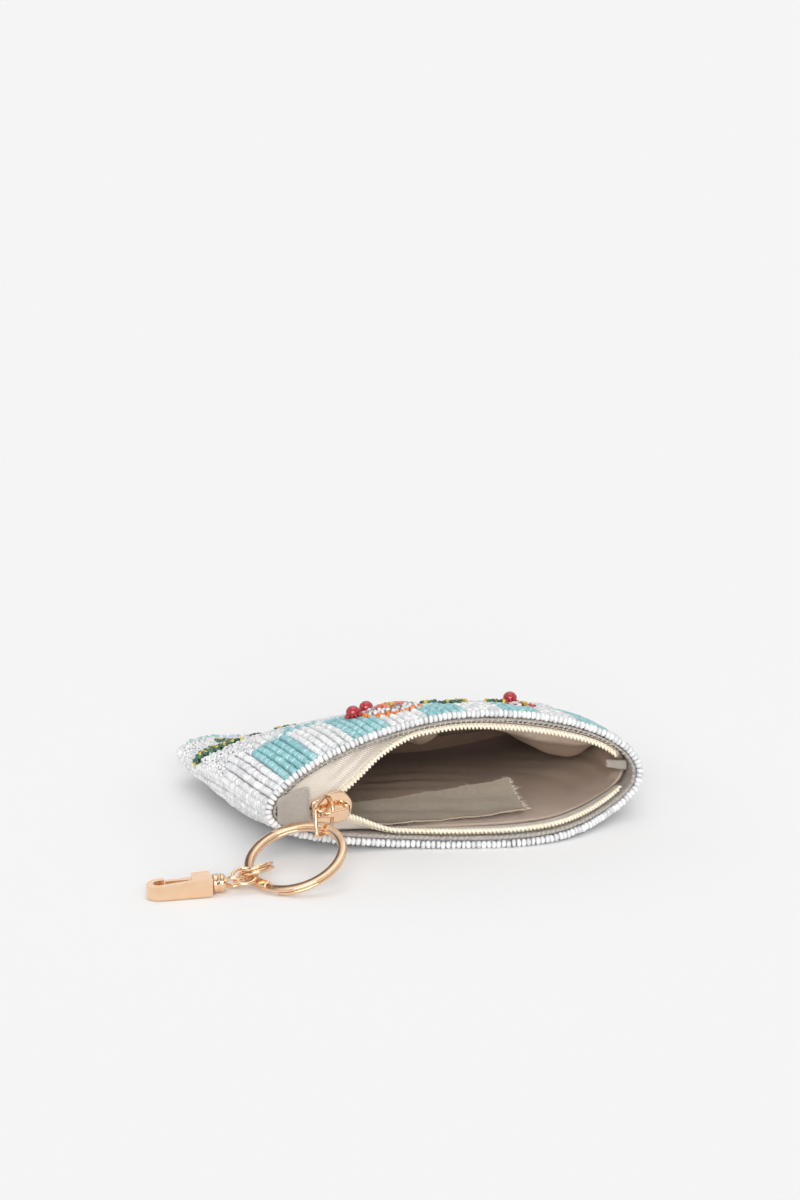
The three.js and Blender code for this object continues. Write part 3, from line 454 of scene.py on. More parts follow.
def bead_mesh(name, place, axis, normal, material, sides=12, radius=BEAD_RADIUS, length=BEAD_LENGTH):
    count = len(place)
    template, faces = barrel(sides, radius, length)
    size = np.stack([rng.normal(1, spread, count) for spread in (0.07, 0.03, 0.03)], axis=1)
    axis = unit(axis + rng.normal(0, 0.06, (count, 3)))
    place = place + rng.normal(0, 0.06, (count, 3))
    points, all_faces = copies(template, faces, place, axis, normal, np.clip(size, 0.8, 1.12))
    return mesh_piece(name, points, all_faces, material, "beads")


# %% [markdown]
# Raised ornaments on such pouches are filled with smaller beads that lie every way. They could be
# modelled leaf by leaf, but it is simpler to draw plain shapes on the unrolled panel and to ask, for
# each small bead of a jittered grid, which shape it lies in. The shapes here are generic ones.

# %% A map of the top panel
MAP_SHARES = np.linspace(-0.995, 0.995, 161)
map_under = panel_paths(MAP_SHARES, True, BEAD_RADIUS)
map_skin = panel_paths(MAP_SHARES, True, 0.0)


def on_panel(across, depth, lift=0.0):
    column_at = np.clip((across / top_arc + 0.995) / 1.99, 0, 1) * 160
    row_at = (1 - (1 - np.clip(depth / DEPTH, 0, 1)) ** (1 / 1.15)) * (DEPTH_STEPS - 1)
    c = np.clip(column_at.astype(int), 0, 159)
    r = np.clip(row_at.astype(int), 0, DEPTH_STEPS - 2)
    cf = (column_at - c)[:, None]
    rf = (row_at - r)[:, None]

    def read(table):
        near = table[r, c] * (1 - cf) + table[r, c + 1] * cf
        far = table[r + 1, c] * (1 - cf) + table[r + 1, c + 1] * cf
        return near * (1 - rf) + far * rf

    under = read(map_under)
    normal = unit(read(map_skin) - under)
    along = unit(map_skin[r + 1, c] - map_skin[r, c])
    return under + normal * lift, normal, along


print("the map has", map_under.shape[:2], "places")

# %% [markdown]
# The ornaments are a few leaves, one flower and a spray. A drawing could be read from a file, but a
# leaf is only a place, a heading, a length and a width, so short tables of numbers are enough.

# %% Plain shapes on the panel
LEAVES = [
    (-50, 49, 150, 14, 6.0), (-45, 55, 75, 13, 5.6), (-56, 59, 185, 12, 5.2), (-49, 66, 110, 12, 5.0),
    (-41, 47, 30, 10, 4.4), (-2, 22, 55, 10, 4.6), (0, 16, 8, 11, 4.6), (23, 16, 150, 8, 3.6)]
FLOWER = (-13, 20, 10)
SPRAY = (27, 14)


def in_leaf(x, y, leaf):
    cx, cy, heading, long, wide = leaf
    a = math.radians(heading)
    u = (x - cx) * math.cos(a) + (y - cy) * math.sin(a)
    v = -(x - cx) * math.sin(a) + (y - cy) * math.cos(a)
    t = u / long
    half = 0.5 * wide * np.sin(np.pi * np.clip(t, 0, 1)) ** 0.8
    return (t > 0) & (t < 1) & (np.abs(v) < half), np.abs(v)


def ornament_color(x, y):
    color = np.zeros(len(x), int)
    for leaf in LEAVES:
        inside, off_vein = in_leaf(x, y, leaf)
        color[inside] = np.where(off_vein[inside] < 0.45, 2, 1)
    fx, fy, fr = FLOWER
    reach = np.hypot(x - fx, (y - fy) * 1.05)
    turn = np.arctan2(y - fy, x - fx)
    petals = np.cos(turn * 4) > 0.1
    color[reach < fr] = 3
    color[(reach < fr - 1.9)] = 4
    color[(reach < fr - 2.6) & petals] = 5
    color[(reach < fr - 5.6)] = 6
    color[reach < 1.9] = 2
    near = np.hypot(x - SPRAY[0], y - SPRAY[1])
    color[(near < 5.5) & (np.cos(np.arctan2(y - SPRAY[1], x - SPRAY[0]) * 5) > 0.2)] = 7
    color[near < 1.5] = 2
    return color


def padding_under(x, y):
    reach = np.hypot(x - FLOWER[0], y - FLOWER[1])
    height = 2.2 * np.clip(1 - (reach / FLOWER[2]) ** 2, 0, 1)
    for leaf in LEAVES:
        inside, off_vein = in_leaf(x, y, leaf)
        height = np.maximum(height, np.where(inside, 0.9, 0))
    near = np.hypot(x - SPRAY[0], y - SPRAY[1])
    return np.maximum(height, 1.4 * np.clip(1 - near / 6, 0, 1))


def fringe_of(x, y, reach):
    near = np.zeros(len(x), bool)
    for k in range(8):
        a = k * math.pi / 4
        near |= ornament_color(x + reach * math.cos(a), y + reach * math.sin(a)) > 0
    return near


bead_across = top_row * ROW_PITCH + ROW_SHIFT
bead_depth = top_number * BEAD_STEP
covered = fringe_of(bead_across, bead_depth, 0.9)
wild_zone = (bead_across < -26) & (bead_depth > 33 + 2.5 * np.sin(bead_across * 0.6))
wild_zone &= (top_place[:, 1] < MOUTH_Y + 79.5) & (top_row > top_row.min())
stays = ~covered & ~wild_zone
print(stays.sum(), "beads stay in rows,", (~stays).sum(), "give way")

# %% [markdown]
# The rows are laid first, in white and aqua. The under panel could match the top, but it is seen from
# far and from below, so its beads have fewer sides, which keeps the whole scene light.

# %% Beads in rows
top_beads = (top_place, top_axis, top_normal)
under_beads = (under_place, under_axis, under_normal)
near_mouth = under_number < 26
for name, beads, chosen, material, sides in (
        ("beads_top_white", top_beads, stays & ~is_aqua, white_glass, 12),
        ("beads_top_aqua", top_beads, stays & is_aqua, aqua_glass, 12),
        ("beads_under_front", under_beads, near_mouth, white_glass, 8),
        ("beads_under_back", under_beads, ~near_mouth, white_glass, 7)):
    bead_mesh(name, *(values[chosen] for values in beads), material, sides=sides)

# %% [markdown]
# The filling beads are smaller and lie every way. Scattering them freely would leave holes and
# clumps, so they start on a grid, each moves a little, and a padding lifts the middle of each shape.

# %% Small beads that lie every way
SMALL_PITCH = 1.55
SMALL_RADIUS = 0.82
gx, gy = np.meshgrid(np.arange(-72, 64, SMALL_PITCH), np.arange(2, 84, SMALL_PITCH * 0.87))
gx = gx + SMALL_PITCH * 0.5 * (np.arange(gx.shape[0])[:, None] % 2)
gx = (gx + rng.normal(0, 0.22, gx.shape)).ravel()
gy = (gy + rng.normal(0, 0.22, gy.shape)).ravel()
small_color = ornament_color(gx, gy)
free = (small_color == 0) & (gx < -26.5) & (gy > 34 + 2.5 * np.sin(gx * 0.6))
small_color[free] = 8
small_color[(small_color == 0) & fringe_of(gx, gy, 0.5)] = 8
wanted = (small_color > 0) & (np.abs(gx) < top_arc - 0.8) & (gy < 82)
lift = 0.25 + padding_under(gx[wanted], gy[wanted])[:, None]
small_place, small_normal, small_along = on_panel(gx[wanted], gy[wanted], lift)
small_color = small_color[wanted]
spin = rng.uniform(0, 2 * np.pi, len(small_place))[:, None]
sideways = np.cross(small_normal, small_along)
tip_up = rng.normal(0, 0.35, spin.shape)
small_axis = small_along * np.cos(spin) + sideways * np.sin(spin) + small_normal * tip_up

SMALL_FINISH = {
    1: ("green", bead_finish("dark green beads", (0.004, 0.05, 0.025), (0.008, 0.10, 0.045),
                             (0.02, 0.2, 0.09), 0.16, Coat_Weight=0.8, Coat_Roughness=0.05)),
    2: ("yellow", bead_finish("yellow beads", (0.6, 0.42, 0.02), (0.75, 0.56, 0.04), (0.85, 0.68, 0.1),
                              0.25)),
    3: ("orange", bead_finish("orange beads", (0.8, 0.2, 0.02), (0.9, 0.28, 0.04), (0.95, 0.38, 0.08), 0.25,
                              Coat_Weight=0.4)),
    4: ("pale", white_glass),
    5: ("silver", bead_finish("silver-lined beads", (0.18, 0.15, 0.15), (0.34, 0.3, 0.29), (0.6, 0.55, 0.52),
                              0.18, Coat_Weight=0.6)),
    6: ("coral", bead_finish("coral beads", (0.7, 0.13, 0.1), (0.8, 0.2, 0.15), (0.86, 0.3, 0.22), 0.25)),
    7: ("red", bead_finish("red beads", (0.28, 0.004, 0.012), (0.45, 0.01, 0.02), (0.6, 0.02, 0.03), 0.18,
                           Coat_Weight=0.8)),
    8: ("white", white_glass)}
for number, (word, material) in SMALL_FINISH.items():
    chosen = small_color == number
    bead_mesh("small_beads_" + word, small_place[chosen], small_axis[chosen], small_normal[chosen],
              material, sides=8, radius=SMALL_RADIUS, length=1.15)

# %% [markdown]
# Under the beads lies the cloth that they are sewn to. A single skin would show its back in the gaps,
# so it is a closed bag, a little inside the beads, with the folded rim at the mouth.


# %% The cloth under the beads
def ring_of(depth, inset, count=220):
    return body_point(np.linspace(0, 2 * np.pi, count, endpoint=False), depth, inset)


cloth_finish, tree, shader = finish_of("bead backing cloth", (0.62, 0.61, 0.6), 0.9)
weft = node(tree, "TexWave", {"Vector": object_place(tree), "Scale": 700.0, "Distortion": 1.5},
            bands_direction="Y")
bump(tree, shader, weft.outputs["Fac"], 0.0002)
BACKING_INSET = 1.7
inside = [ring_of(depth, BEADED_WALL) for depth in np.linspace(0.95, 0.0, 28)]
far_end = inside[0] * [1, 1, 0] + [0, 0, 1] * inside[0].mean(axis=0)
outside = [ring_of(depth, BACKING_INSET) for depth in np.linspace(0.0, 1.0, 28)]
rings = [far_end] + inside + outside + cap_rings(outside[-1], BACKING_INSET, 1.2, 4)
points, faces = skin(np.array(rings))
backing = mesh_piece("bead_backing", points, faces, cloth_finish, "beads")
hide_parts("beaded_shell")

# %% [markdown]
# The rim is finished with one more row of beads, threaded along the edge. Their holes face each other,
# so the row looks like a rope. Its places are spaced evenly by length, not by angle.


# %% The bead rope
def even_loop(at, step, count=1600):
    turns = np.linspace(0, 2 * np.pi, count, endpoint=False)
    line = at(turns)
    line = np.concatenate([line, line[:1]])
    along = run_of(line)
    number = int(round(along[-1] / step))
    wanted = np.arange(number) * along[-1] / number
    turn_at = np.interp(wanted, along, np.concatenate([turns, [2 * np.pi]]))
    place = at(turn_at)
    return place, unit(np.roll(place, -1, 0) - np.roll(place, 1, 0)), turn_at


rope_place, rope_axis, rope_turn = even_loop(lambda t: mouth_point(t, 1.15, -1.45), 1.5)
rope_normal = unit(rope_place - mouth_point(rope_turn, 4.0, -1.45))
rope = bead_mesh("rope_beads", rope_place, rope_axis, rope_normal, white_glass, sides=14)
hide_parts("edge_bead_rope")

# %% [markdown]
# Linen, tape, lining and label are all woven, and a weave is two sets of threads that pass over and
# under. Modelled threads would cost millions of faces, so the weave is drawn by wave nodes along the
# cloth's own lay, which each piece stores as coordinates in millimetres.


# %% Woven finishes
def woven_finish(name, dark, light, threads_per_mm, depth, roughness=0.9, bias=0.0, **sockets):
    middle = tuple((a + b) / 2 for a, b in zip(dark, light))
    material, tree, shader = finish_of(name, middle, roughness, **sockets)
    lay = node(tree, "UVMap", uv_map="lay").outputs["UV"]
    turned = node(tree, "Mapping", {"Vector": lay, "Rotation": (0, 0, math.radians(bias))})
    lay = turned.outputs["Vector"]
    thread = {"Vector": lay, "Scale": threads_per_mm / 2, "Distortion": 0.6, "Detail": 1.0,
              "Detail Scale": 2.0}
    warp = node(tree, "TexWave", thread, bands_direction="X")
    weft = node(tree, "TexWave", thread, bands_direction="Y")
    check = node(tree, "TexChecker", {"Vector": lay, "Scale": threads_per_mm})
    over = node(tree, "Mix", {"Factor": check.outputs["Fac"], "A": warp.outputs["Fac"],
                              "B": weft.outputs["Fac"]})
    slub = node(tree, "TexNoise", {"Vector": lay, "Scale": 0.7, "Detail": 3.0})
    mixed = node(tree, "Math", {0: over.outputs["Result"], 1: slub.outputs["Fac"]},
                 operation="MULTIPLY")
    shade = ramp(tree, mixed.outputs["Value"], [(0.0, dark), (0.32, light)])
    tree.links.new(shade, shader.inputs["Base Color"])
    bump(tree, shader, over.outputs["Result"], depth)
    return material


linen_finish = woven_finish("grey linen", (0.56, 0.49, 0.42), (0.97, 0.90, 0.82), 2.4, 0.0003)
label_finish = woven_finish("unbleached label cloth", (0.66, 0.52, 0.38), (0.99, 0.88, 0.73), 2.6,
                            0.0004)
print("woven:", linen_finish.name, label_finish.name)

# %% [markdown]
# Herringbone is a twill that changes direction in stripes. It is a bias line pattern whose slope flips
# from one stripe to the next, so the node folds the coordinate across the tape with a ping-pong.

# %% Herringbone tape finish
tape_finish, tree, shader = finish_of("cream zip tape", (0.82, 0.75, 0.65), 0.8, Sheen_Weight=0.2)
lay = node(tree, "UVMap", uv_map="lay").outputs["UV"]
parts = node(tree, "SeparateXYZ", {"Vector": lay})
folded = node(tree, "Math", {0: parts.outputs["Y"], 1: 1.7}, operation="PINGPONG")
slant = node(tree, "Math", {0: parts.outputs["X"], 1: folded.outputs["Value"]},
             operation="ADD")
phase = node(tree, "Math", {0: slant.outputs["Value"], 1: 8.5}, operation="MULTIPLY")
thread = node(tree, "Math", {0: phase.outputs["Value"]}, operation="SINE")
half_up = node(tree, "Math", {0: thread.outputs["Value"], 1: 0.5, 2: 0.5},
               operation="MULTIPLY_ADD")
shade = ramp(tree, half_up.outputs["Value"], [(0.0, (0.62, 0.55, 0.46)), (0.6, (0.86, 0.79, 0.70))])
tree.links.new(shade, shader.inputs["Base Color"])
bump(tree, shader, half_up.outputs["Value"], 0.00016)
print("herringbone drawn on", tape_finish.name)

# %% [markdown]
# The linen binding is folded over the raw rim, just inside the bead rope. It is a band swept round the
# mouth, a little uneven, and a whip stitch of grey thread holds it to the zip.

# %% Linen binding
EDGE_BEAD = 2.3
LINEN_INSET = BEADED_WALL + 1.5 * GAP
LINEN_THICKNESS = 0.6


def mouth_band(corners, count=360, ripple=0.0):
    turns = np.linspace(0, 2 * np.pi, count, endpoint=False)
    loops = []
    for k, (inset, back) in enumerate(corners):
        wave = ripple * (np.sin(turns * 31 + k) + 0.6 * np.sin(turns * 53 + 2 * k))
        loops.append(mouth_point(turns, inset + wave, back + (wave if back > 0 else 0)))
    loops = np.array(loops).transpose(1, 0, 2)
    steps = np.linalg.norm(np.diff(loops[:, 0], axis=0, append=loops[:1, 0]), axis=1)
    along = np.concatenate([[0], np.cumsum(steps)[:-1]])
    across = np.concatenate([[0], np.cumsum([math.dist(a, b) for a, b in zip(corners, corners[1:])])])
    uv = np.stack(np.meshgrid(along, across, indexing="ij"), axis=-1).reshape(-1, 2)
    return *skin(loops, True), uv


inner = LINEN_INSET + LINEN_THICKNESS
binding_corners = [
    (LINEN_INSET, 7.0), (LINEN_INSET, 3.5), (LINEN_INSET, 0.0), (LINEN_INSET - 0.15, -1.2),
    (LINEN_INSET + 0.05, -1.75), (LINEN_INSET + 0.35, -1.95), (inner + 0.1, -1.6), (inner, 0.0),
    (inner, 3.5), (inner, 7.0)]
points, faces, uv = mouth_band(binding_corners, ripple=0.05)
binding = mesh_piece("linen_binding", points, faces, linen_finish, "linen", uv=uv)
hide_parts("linen_edge")


def thread_finish(name, dark, middle, light, scale, sheen):
    material, tree, shader = finish_of(name, middle, 0.7, Sheen_Weight=sheen)
    ply = node(tree, "TexWave", {"Vector": object_place(tree), "Scale": scale, "Distortion": 2.0},
               bands_direction="DIAGONAL")
    tree.links.new(ramp(tree, ply.outputs["Fac"], [(0.1, dark), (0.8, light)]), shader.inputs["Base Color"])
    return material


grey_thread = thread_finish("grey sewing thread", (0.42, 0.37, 0.32), (0.58, 0.52, 0.46), (0.76, 0.70, 0.63),
                            2500.0, 0.3)


def stitch_row(name, at_start, at_end, off, step, radius, material, slot, slant=0.4):
    start, axis, turn = even_loop(at_start, step)
    end = at_end(turn + slant * step / 60)
    stitches = []
    for a, b, n in zip(start, end, unit(off(turn))):
        share = np.linspace(0, 1, 6)[:, None]
        path = a + (b - a) * share + n * (0.28 * np.sin(np.pi * share))
        stitches.append(tube(path, 5, radius * np.sin(np.pi * np.clip(share[:, 0], 0.08, 0.92)) ** 0.4,
                             start_normal=n))
    points, faces = join(stitches)
    return mesh_piece(name, points, faces, material, slot)


stitch_row(
    "whip_stitches", lambda t: mouth_point(t, LINEN_INSET - 0.1, -1.5),
    lambda t: mouth_point(t, inner + 0.55, -1.75), lambda t: mouth_point(t, 3, -6) - mouth_point(t, 3, -1),
    1.7, 0.17, grey_thread, "linen")

# %% [markdown]
# The zip is half open, so each tape has its own course: together at the closed end, then apart along
# the two lips. A table says how far each has opened, and every station across the mouth gets an
# inner edge, a direction for the coil, and a sewn line for the tape.

# %% Zip stations
ZIP_EDGE = np.array([
    (-1.0, 0.0, 0.0), (-0.68, 0.0, 0.0), (-0.575, 0.33, 0.42), (-0.405, 0.8, 0.94), (-0.19, 1.0, 1.0),
    (0.06, 1.0, 1.0), (0.33, 0.97, 1.0), (0.6, 0.95, 1.0), (1.0, 1.0, 1.0)])
COIL_WIDTH = 2.3
COIL_THICKNESS = 1.7
TAPE_INSET = LINEN_INSET + LINEN_THICKNESS + 1.5 * GAP
ZIP_REACH = MOUTH_HALF - TAPE_INSET - 3.6
CLOSED_Y = MOUTH_Y - 1.2


def lip_turn(x, top, inset):
    half = "top" if top else "low"
    power = np.where(x < 0, section(half + "_left", 0.0), section(half + "_right", 0.0))
    side = np.minimum(1, np.abs(x) / (MOUTH_HALF - inset))
    turn = np.arccos(np.sign(x) * side ** (power / 2))
    return turn if top else -turn


def zip_stations(x, top):
    away = 1 if top else -1
    opened = np.clip(read_column(ZIP_EDGE, 1 if top else 2, x / MOUTH_HALF), 0, 1)
    roll = math.radians(45 if top else 80) * opened**2
    snug = TAPE_INSET + COIL_WIDTH * np.cos(roll) + 0.5 * COIL_THICKNESS * np.sin(roll)
    lip = mouth_point(lip_turn(x, top, snug), snug, -0.8)
    rise = GAP / 2 + np.maximum(0, np.abs(lip[:, 2] - SEAM_HEIGHT) - GAP / 2) * opened
    forward = CLOSED_Y + (lip[:, 1] - CLOSED_Y) * opened**3
    edge = np.stack([x, forward, SEAM_HEIGHT + away * rise], axis=1)
    along = np.stack([0 * x, np.sin(roll), away * np.cos(roll)], axis=1)
    sewn_inset = TAPE_INSET + 0.4
    back = 4.6 * opened - 0.6 * (1 - opened)
    sewn = mouth_point(lip_turn(x, top, sewn_inset), sewn_inset, back)
    sewn[:, 0] = x
    return edge, along, sewn


def facing(v):
    return unit(np.stack([0 * v[:, 0], -v[:, 2], v[:, 1]], axis=1))


mid_gap = zip_stations(np.array([0.0]), True)[0][0] - zip_stations(np.array([0.0]), False)[0][0]
print("the zip opens", np.linalg.norm(mid_gap).round(1), "mm at the middle")

# %% [markdown]
# A tape is a woven band that is sewn in along one edge and carries the coil on the other. A flat strip
# would look like paper, so each band has a thickness, a slight sag and rounded edges.


# %% Tapes
def tape_piece(name, top, stands_for):
    x = np.linspace(-ZIP_REACH, ZIP_REACH, 240)
    edge, along, sewn = zip_stations(x, top)
    start = edge + along * (COIL_WIDTH * 0.55)
    face = facing(sewn - start) * 0.36
    run = run_of(start)
    width = np.linalg.norm(sewn - start, axis=1)
    rings = []
    lay = []
    for side, shares in ((-1, np.linspace(0, 1, 7)), (1, np.linspace(1, 0, 7))):
        for share in shares:
            sag = 0.12 * np.sin(np.pi * share) * np.sin(run * 0.35)
            thick = side * (1 - 0.4 * (share in (0, 1)))
            rings.append(start + (sewn - start) * share + face * (thick + sag[:, None]))
            lay.append(np.stack([run, width * share], axis=1))
    points = np.array(rings).transpose(1, 0, 2)
    uv = np.array(lay).transpose(1, 0, 2).reshape(-1, 2)
    uv = np.concatenate([uv[:14], uv, uv[-14:]])
    piece = mesh_piece(name, *skin(capped(points)), tape_finish, "tape", uv=uv)
    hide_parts(stands_for)


tape_piece("tape_top", True, "zip_tape_top")
tape_piece("tape_bottom", False, "zip_tape_bottom")

# %% [markdown]
# A coil zip's teeth are one nylon thread wound into a flat spring, so the coil is a tube along a
# squared helix. Two rows of sewing hold it to the tape. It is made turn by turn, never as a strip
# with stripes, because the light catches every turn.

# %% Coil teeth
COIL_PITCH = 1.23
STEPS_IN_A_TURN = 14
WIRE_RADIUS = 0.42
CORD_RADIUS = 0.56
nylon_finish, tree, shader = finish_of("cream nylon", (0.93, 0.84, 0.67), 0.42, Coat_Weight=0.15)
cloud = node(tree, "TexNoise", {"Vector": object_place(tree), "Scale": 260.0, "Detail": 3.0})
shade = ramp(tree, cloud.outputs["Fac"], [(0.3, (0.89, 0.79, 0.61)), (0.7, (0.96, 0.89, 0.75))])
tree.links.new(shade, shader.inputs["Base Color"])
bump(tree, shader, cloud.outputs["Fac"], 0.0001)


def coil_piece(name, top, stands_for):
    x = np.linspace(-ZIP_REACH, ZIP_REACH, 500)
    edge, along, sewn = zip_stations(x, top)
    run = run_of(edge)
    turns = int(run[-1] / COIL_PITCH)
    at = np.linspace(0, turns * COIL_PITCH, turns * STEPS_IN_A_TURN)
    angle = 2 * np.pi * at / COIL_PITCH + (0 if top else np.pi)
    inner_edge = read_line(at, run, edge)
    a = unit(read_line(at, run, along))
    face = facing(a)
    c = np.cos(angle)
    s = np.sin(angle)
    wide = COIL_WIDTH / 2 - WIRE_RADIUS
    tall = COIL_THICKNESS / 2 - WIRE_RADIUS
    u = COIL_WIDTH / 2 + wide * np.sign(c) * np.abs(c) ** 0.8 - 0.1
    n = tall * np.sign(s) * np.abs(s) ** 0.8
    path = inner_edge + a * u[:, None] + face * n[:, None]
    points, faces = tube(path, 8, WIRE_RADIUS, start_normal=(1, 0, 0.01))
    cord_path = inner_edge + a * (COIL_WIDTH * 0.5)
    cord = tube(cord_path[::7], 8, CORD_RADIUS, start_normal=(0, 0, 1))
    points, faces = join([(points, faces), cord])
    piece = mesh_piece(name, points, faces, nylon_finish, "coil")
    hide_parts(stands_for)
    sewing = []
    for line in (0.62, 0.95):
        across = COIL_WIDTH * line
        stitch_at = np.arange(0.6, run[-1] - 0.6, COIL_PITCH)
        spot = read_line(stitch_at, run, edge)
        aim = unit(read_line(stitch_at, run, along))
        out = facing(aim)
        ahead = unit(np.gradient(spot, axis=0))
        side = out if top else -out
        for p, d, o, f in zip(spot, aim, side, ahead):
            share = np.linspace(-1, 1, 5)[:, None]
            height = COIL_THICKNESS / 2 - 0.02 + 0.12 * (1 - share**2)
            path = p + d * across + f * (share * 0.45) + o * height
            sewing.append(tube(path, 4, 0.13, start_normal=d))
    points, faces = join(sewing)
    mesh_piece(name + "_sewing", points, faces, cream_thread, "tape")


cream_thread = thread_finish("cream sewing thread", (0.72, 0.62, 0.48), (0.86, 0.78, 0.64),
                             (0.92, 0.85, 0.72), 2200.0, 0.2)
coil_piece("coil_top", True, "zip_coil_top")
coil_piece("coil_bottom", False, "zip_coil_bottom")

# %% [markdown]
# The lining is thin cotton, sewn in at the mouth and loose behind, so the upper sheet drops into the
# bag in big soft folds. A simulation would need hours of tuning to match these folds, so a table of
# folds pushes the sheet down, and waves of a few sizes add the creases.

# %% Lining
LINING_START = 7.6 / DEPTH
LINING_INSET = BEADED_WALL + 0.7
FOLDS = [
    (50, 0.20, 26, 0.12, 6.5), (36, 0.47, 22, 0.17, 11.0), (88, 0.45, 8, 0.13, 8.0),
    (112, 0.36, 12, 0.14, 5.5), (140, 0.5, 12, 0.2, 2.4)]


def fold_depth(turn, depth):
    degrees = np.degrees(turn)
    total = np.zeros_like(turn)
    for at, deep, wide, long, height in FOLDS:
        a = (degrees - at) / wide
        b = (depth - deep) / long
        total += height * np.exp(-np.abs(a) ** 2.4 - np.abs(b) ** 2.4)
    return total


def crease(turn, depth):
    flow = 3.2 * turn + 5 * depth
    fine = 0.22 * np.sin(7 * flow + 3 * np.sin(11 * depth))
    fine = fine + 0.16 * np.sin(17 * turn - 19 * depth + 2 * np.sin(5 * turn))
    return fine + 0.3 * np.sin(2.1 * flow + 4 * depth) * np.sin(9 * depth + 1)


def draped(ring, depth):
    turn = np.linspace(0, 2 * np.pi, len(ring), endpoint=False)
    share = np.clip((depth - LINING_START) / 0.06, 0, 1)
    down = np.where(turn < np.pi, fold_depth(turn, depth), 0)
    ring = ring.copy()
    ring[:, 2] -= down
    ring[:, 1] -= 0.25 * down * share
    pull = unit(ring - ring.mean(axis=0)) * (crease(turn, depth) * share - 0.3 * share)[:, None]
    return ring + pull


LINING_SIDES = 300
lining_rings = []
for depth in np.linspace(0.93, LINING_START, 120):
    lining_rings.append(draped(ring_of(depth, LINING_INSET + 0.9, LINING_SIDES), depth))
floor_ring = lining_rings[0] * [0.98, 1, 0.05] + [0, 0, 0.95 * lining_rings[0][:, 2].mean()]
outer_rings = [ring_of(depth, LINING_INSET, LINING_SIDES) for depth in np.linspace(LINING_START, 0.93, 20)]
rings = np.array([floor_ring] + lining_rings + outer_rings)
uv = np.stack([rings[:, :, 0], rings[:, :, 1] + 0.4 * rings[:, :, 2]], axis=-1).reshape(-1, 2)

# %% [markdown]
# Deep in a bag, cloth gets little light. Lamps could be placed to leave the depth dark, but they would
# also darken the label, so painted shade is laid on: the weave is multiplied by a tone that falls inwards.

# %% Lining finish
lining_finish = woven_finish("ivory lining cotton", (0.60, 0.45, 0.34), (0.90, 0.73, 0.59), 5.5, 0.00007,
                             Sheen_Weight=0.15)
tree = lining_finish.node_tree
shader = tree.nodes["Principled BSDF"]
woven = shader.inputs["Base Color"].links[0].from_socket
lay = node(tree, "UVMap", uv_map="lay").outputs["UV"]
inwards = node(tree, "SeparateXYZ", {"Vector": lay}).outputs["Y"]
share = node(tree, "MapRange", {"Value": inwards, "From Min": -12.0, "From Max": 40.0}).outputs["Result"]
# painted shade: the lining grows darker from the mouth towards the back of the bag
painted_shade = ramp(tree, share, [(0.0, (1.0, 1.0, 1.0)), (0.35, (0.84, 0.79, 0.75)), (1.0, (0.38, 0.3, 0.25))])
tree.links.new(multiply(tree, woven, painted_shade), shader.inputs["Base Color"])
lining = mesh_piece("lining_cotton", *skin(rings), lining_finish, "lining", uv=uv)
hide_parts("lining_bag")

# %% [markdown]
# The label is a torn strip of unbleached cloth. Its name is left off, but its frayed edge is what makes
# it look real, so the border is ragged and short loose threads stand out all round.


# %% Woven label
def plate_points(columns, rows, place, thickness):
    u, v = np.meshgrid(np.linspace(0, 1, columns), np.linspace(0, 1, rows), indexing="ij")
    low = place(u, v)
    high = low + [0, 0, thickness]
    faces = grid_faces(columns, rows)
    count = columns * rows
    rim = [k for k in range(rows)] + [i * rows + rows - 1 for i in range(1, columns)]
    rim += [(columns - 1) * rows + k for k in range(rows - 2, -1, -1)]
    rim += [i * rows for i in range(columns - 2, 0, -1)]
    rim = np.array(rim)
    following = np.roll(rim, -1)
    walls = np.stack([rim, following, following + count, rim + count], axis=1)
    faces = np.concatenate([faces, faces[:, ::-1] + count, walls])
    lay = np.stack([u * LABEL_LENGTH, v * LABEL_WIDTH], axis=-1).reshape(-1, 2)
    return np.concatenate([low.reshape(-1, 3), high.reshape(-1, 3)]), faces, np.concatenate([lay, lay])


LABEL_LENGTH = 52
LABEL_WIDTH = 15
LABEL_SETBACK = 2.5
LABEL_SINK = LINING_INSET + 0.9 + GAP


def label_place(u, v):
    torn_v = v + (np.abs(v - 0.5) > 0.45) * (0.012 * np.sin(u * 61) + 0.014 * np.sin(u * 239 + v))
    torn_u = u + (np.abs(u - 0.5) > 0.49) * (0.004 * np.sin(v * 27) + 0.004 * np.sin(v * 71))
    x = -4 + LABEL_LENGTH * (torn_u - 0.5)
    y = MOUTH_Y + LABEL_SETBACK + LABEL_WIDTH * torn_v + 2 * np.sin(np.pi * u) - 4 * u
    end = np.abs(2 * u - 1)
    z = LABEL_SINK + 0.6 + 1.6 * end**3 + (1.6 + 3.6 * u) * v * v
    return np.stack([x, y, z + 0.16 * np.sin(u * 23 + v * 3) + 0.12 * np.sin(v * 14 + u * 9)], axis=-1)


points, faces, uv = plate_points(160, 48, label_place, 0.55)
label = mesh_piece("label_cloth", points, faces, label_finish, "label", uv=uv)
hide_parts("woven_label")
frayed = []
for k in range(420):
    u, v = rng.uniform(0, 1, 2)
    side = rng.integers(0, 4)
    u = (0.0, 1.0, u, u)[side]
    v = (v, v, 0.0, 1.0)[side]
    root = label_place(np.array([u]), np.array([v]))[0] + [0, 0, 0.3]
    away = np.array([(-1, 0, 0), (1, 0, 0), (0, -1, 0), (0, 1, 0.25)][side], float)
    away = away + rng.normal(0, 0.35, 3) * [1, 1, 0.4]
    bend = rng.normal(0, 0.35, 3) * [1, 1, 0.5]
    share = np.linspace(0, 1, 5)[:, None]
    length = rng.uniform(0.5, 1.7)
    path = root + away * share * length + bend * share**2
    frayed.append(tube(path, 4, 0.09 * (1.15 - share[:, 0]), start_normal=(0.1, 0.2, 1)))
points, faces = join(frayed)
mesh_piece("label_loose_threads", points, faces, cream_thread, "label")

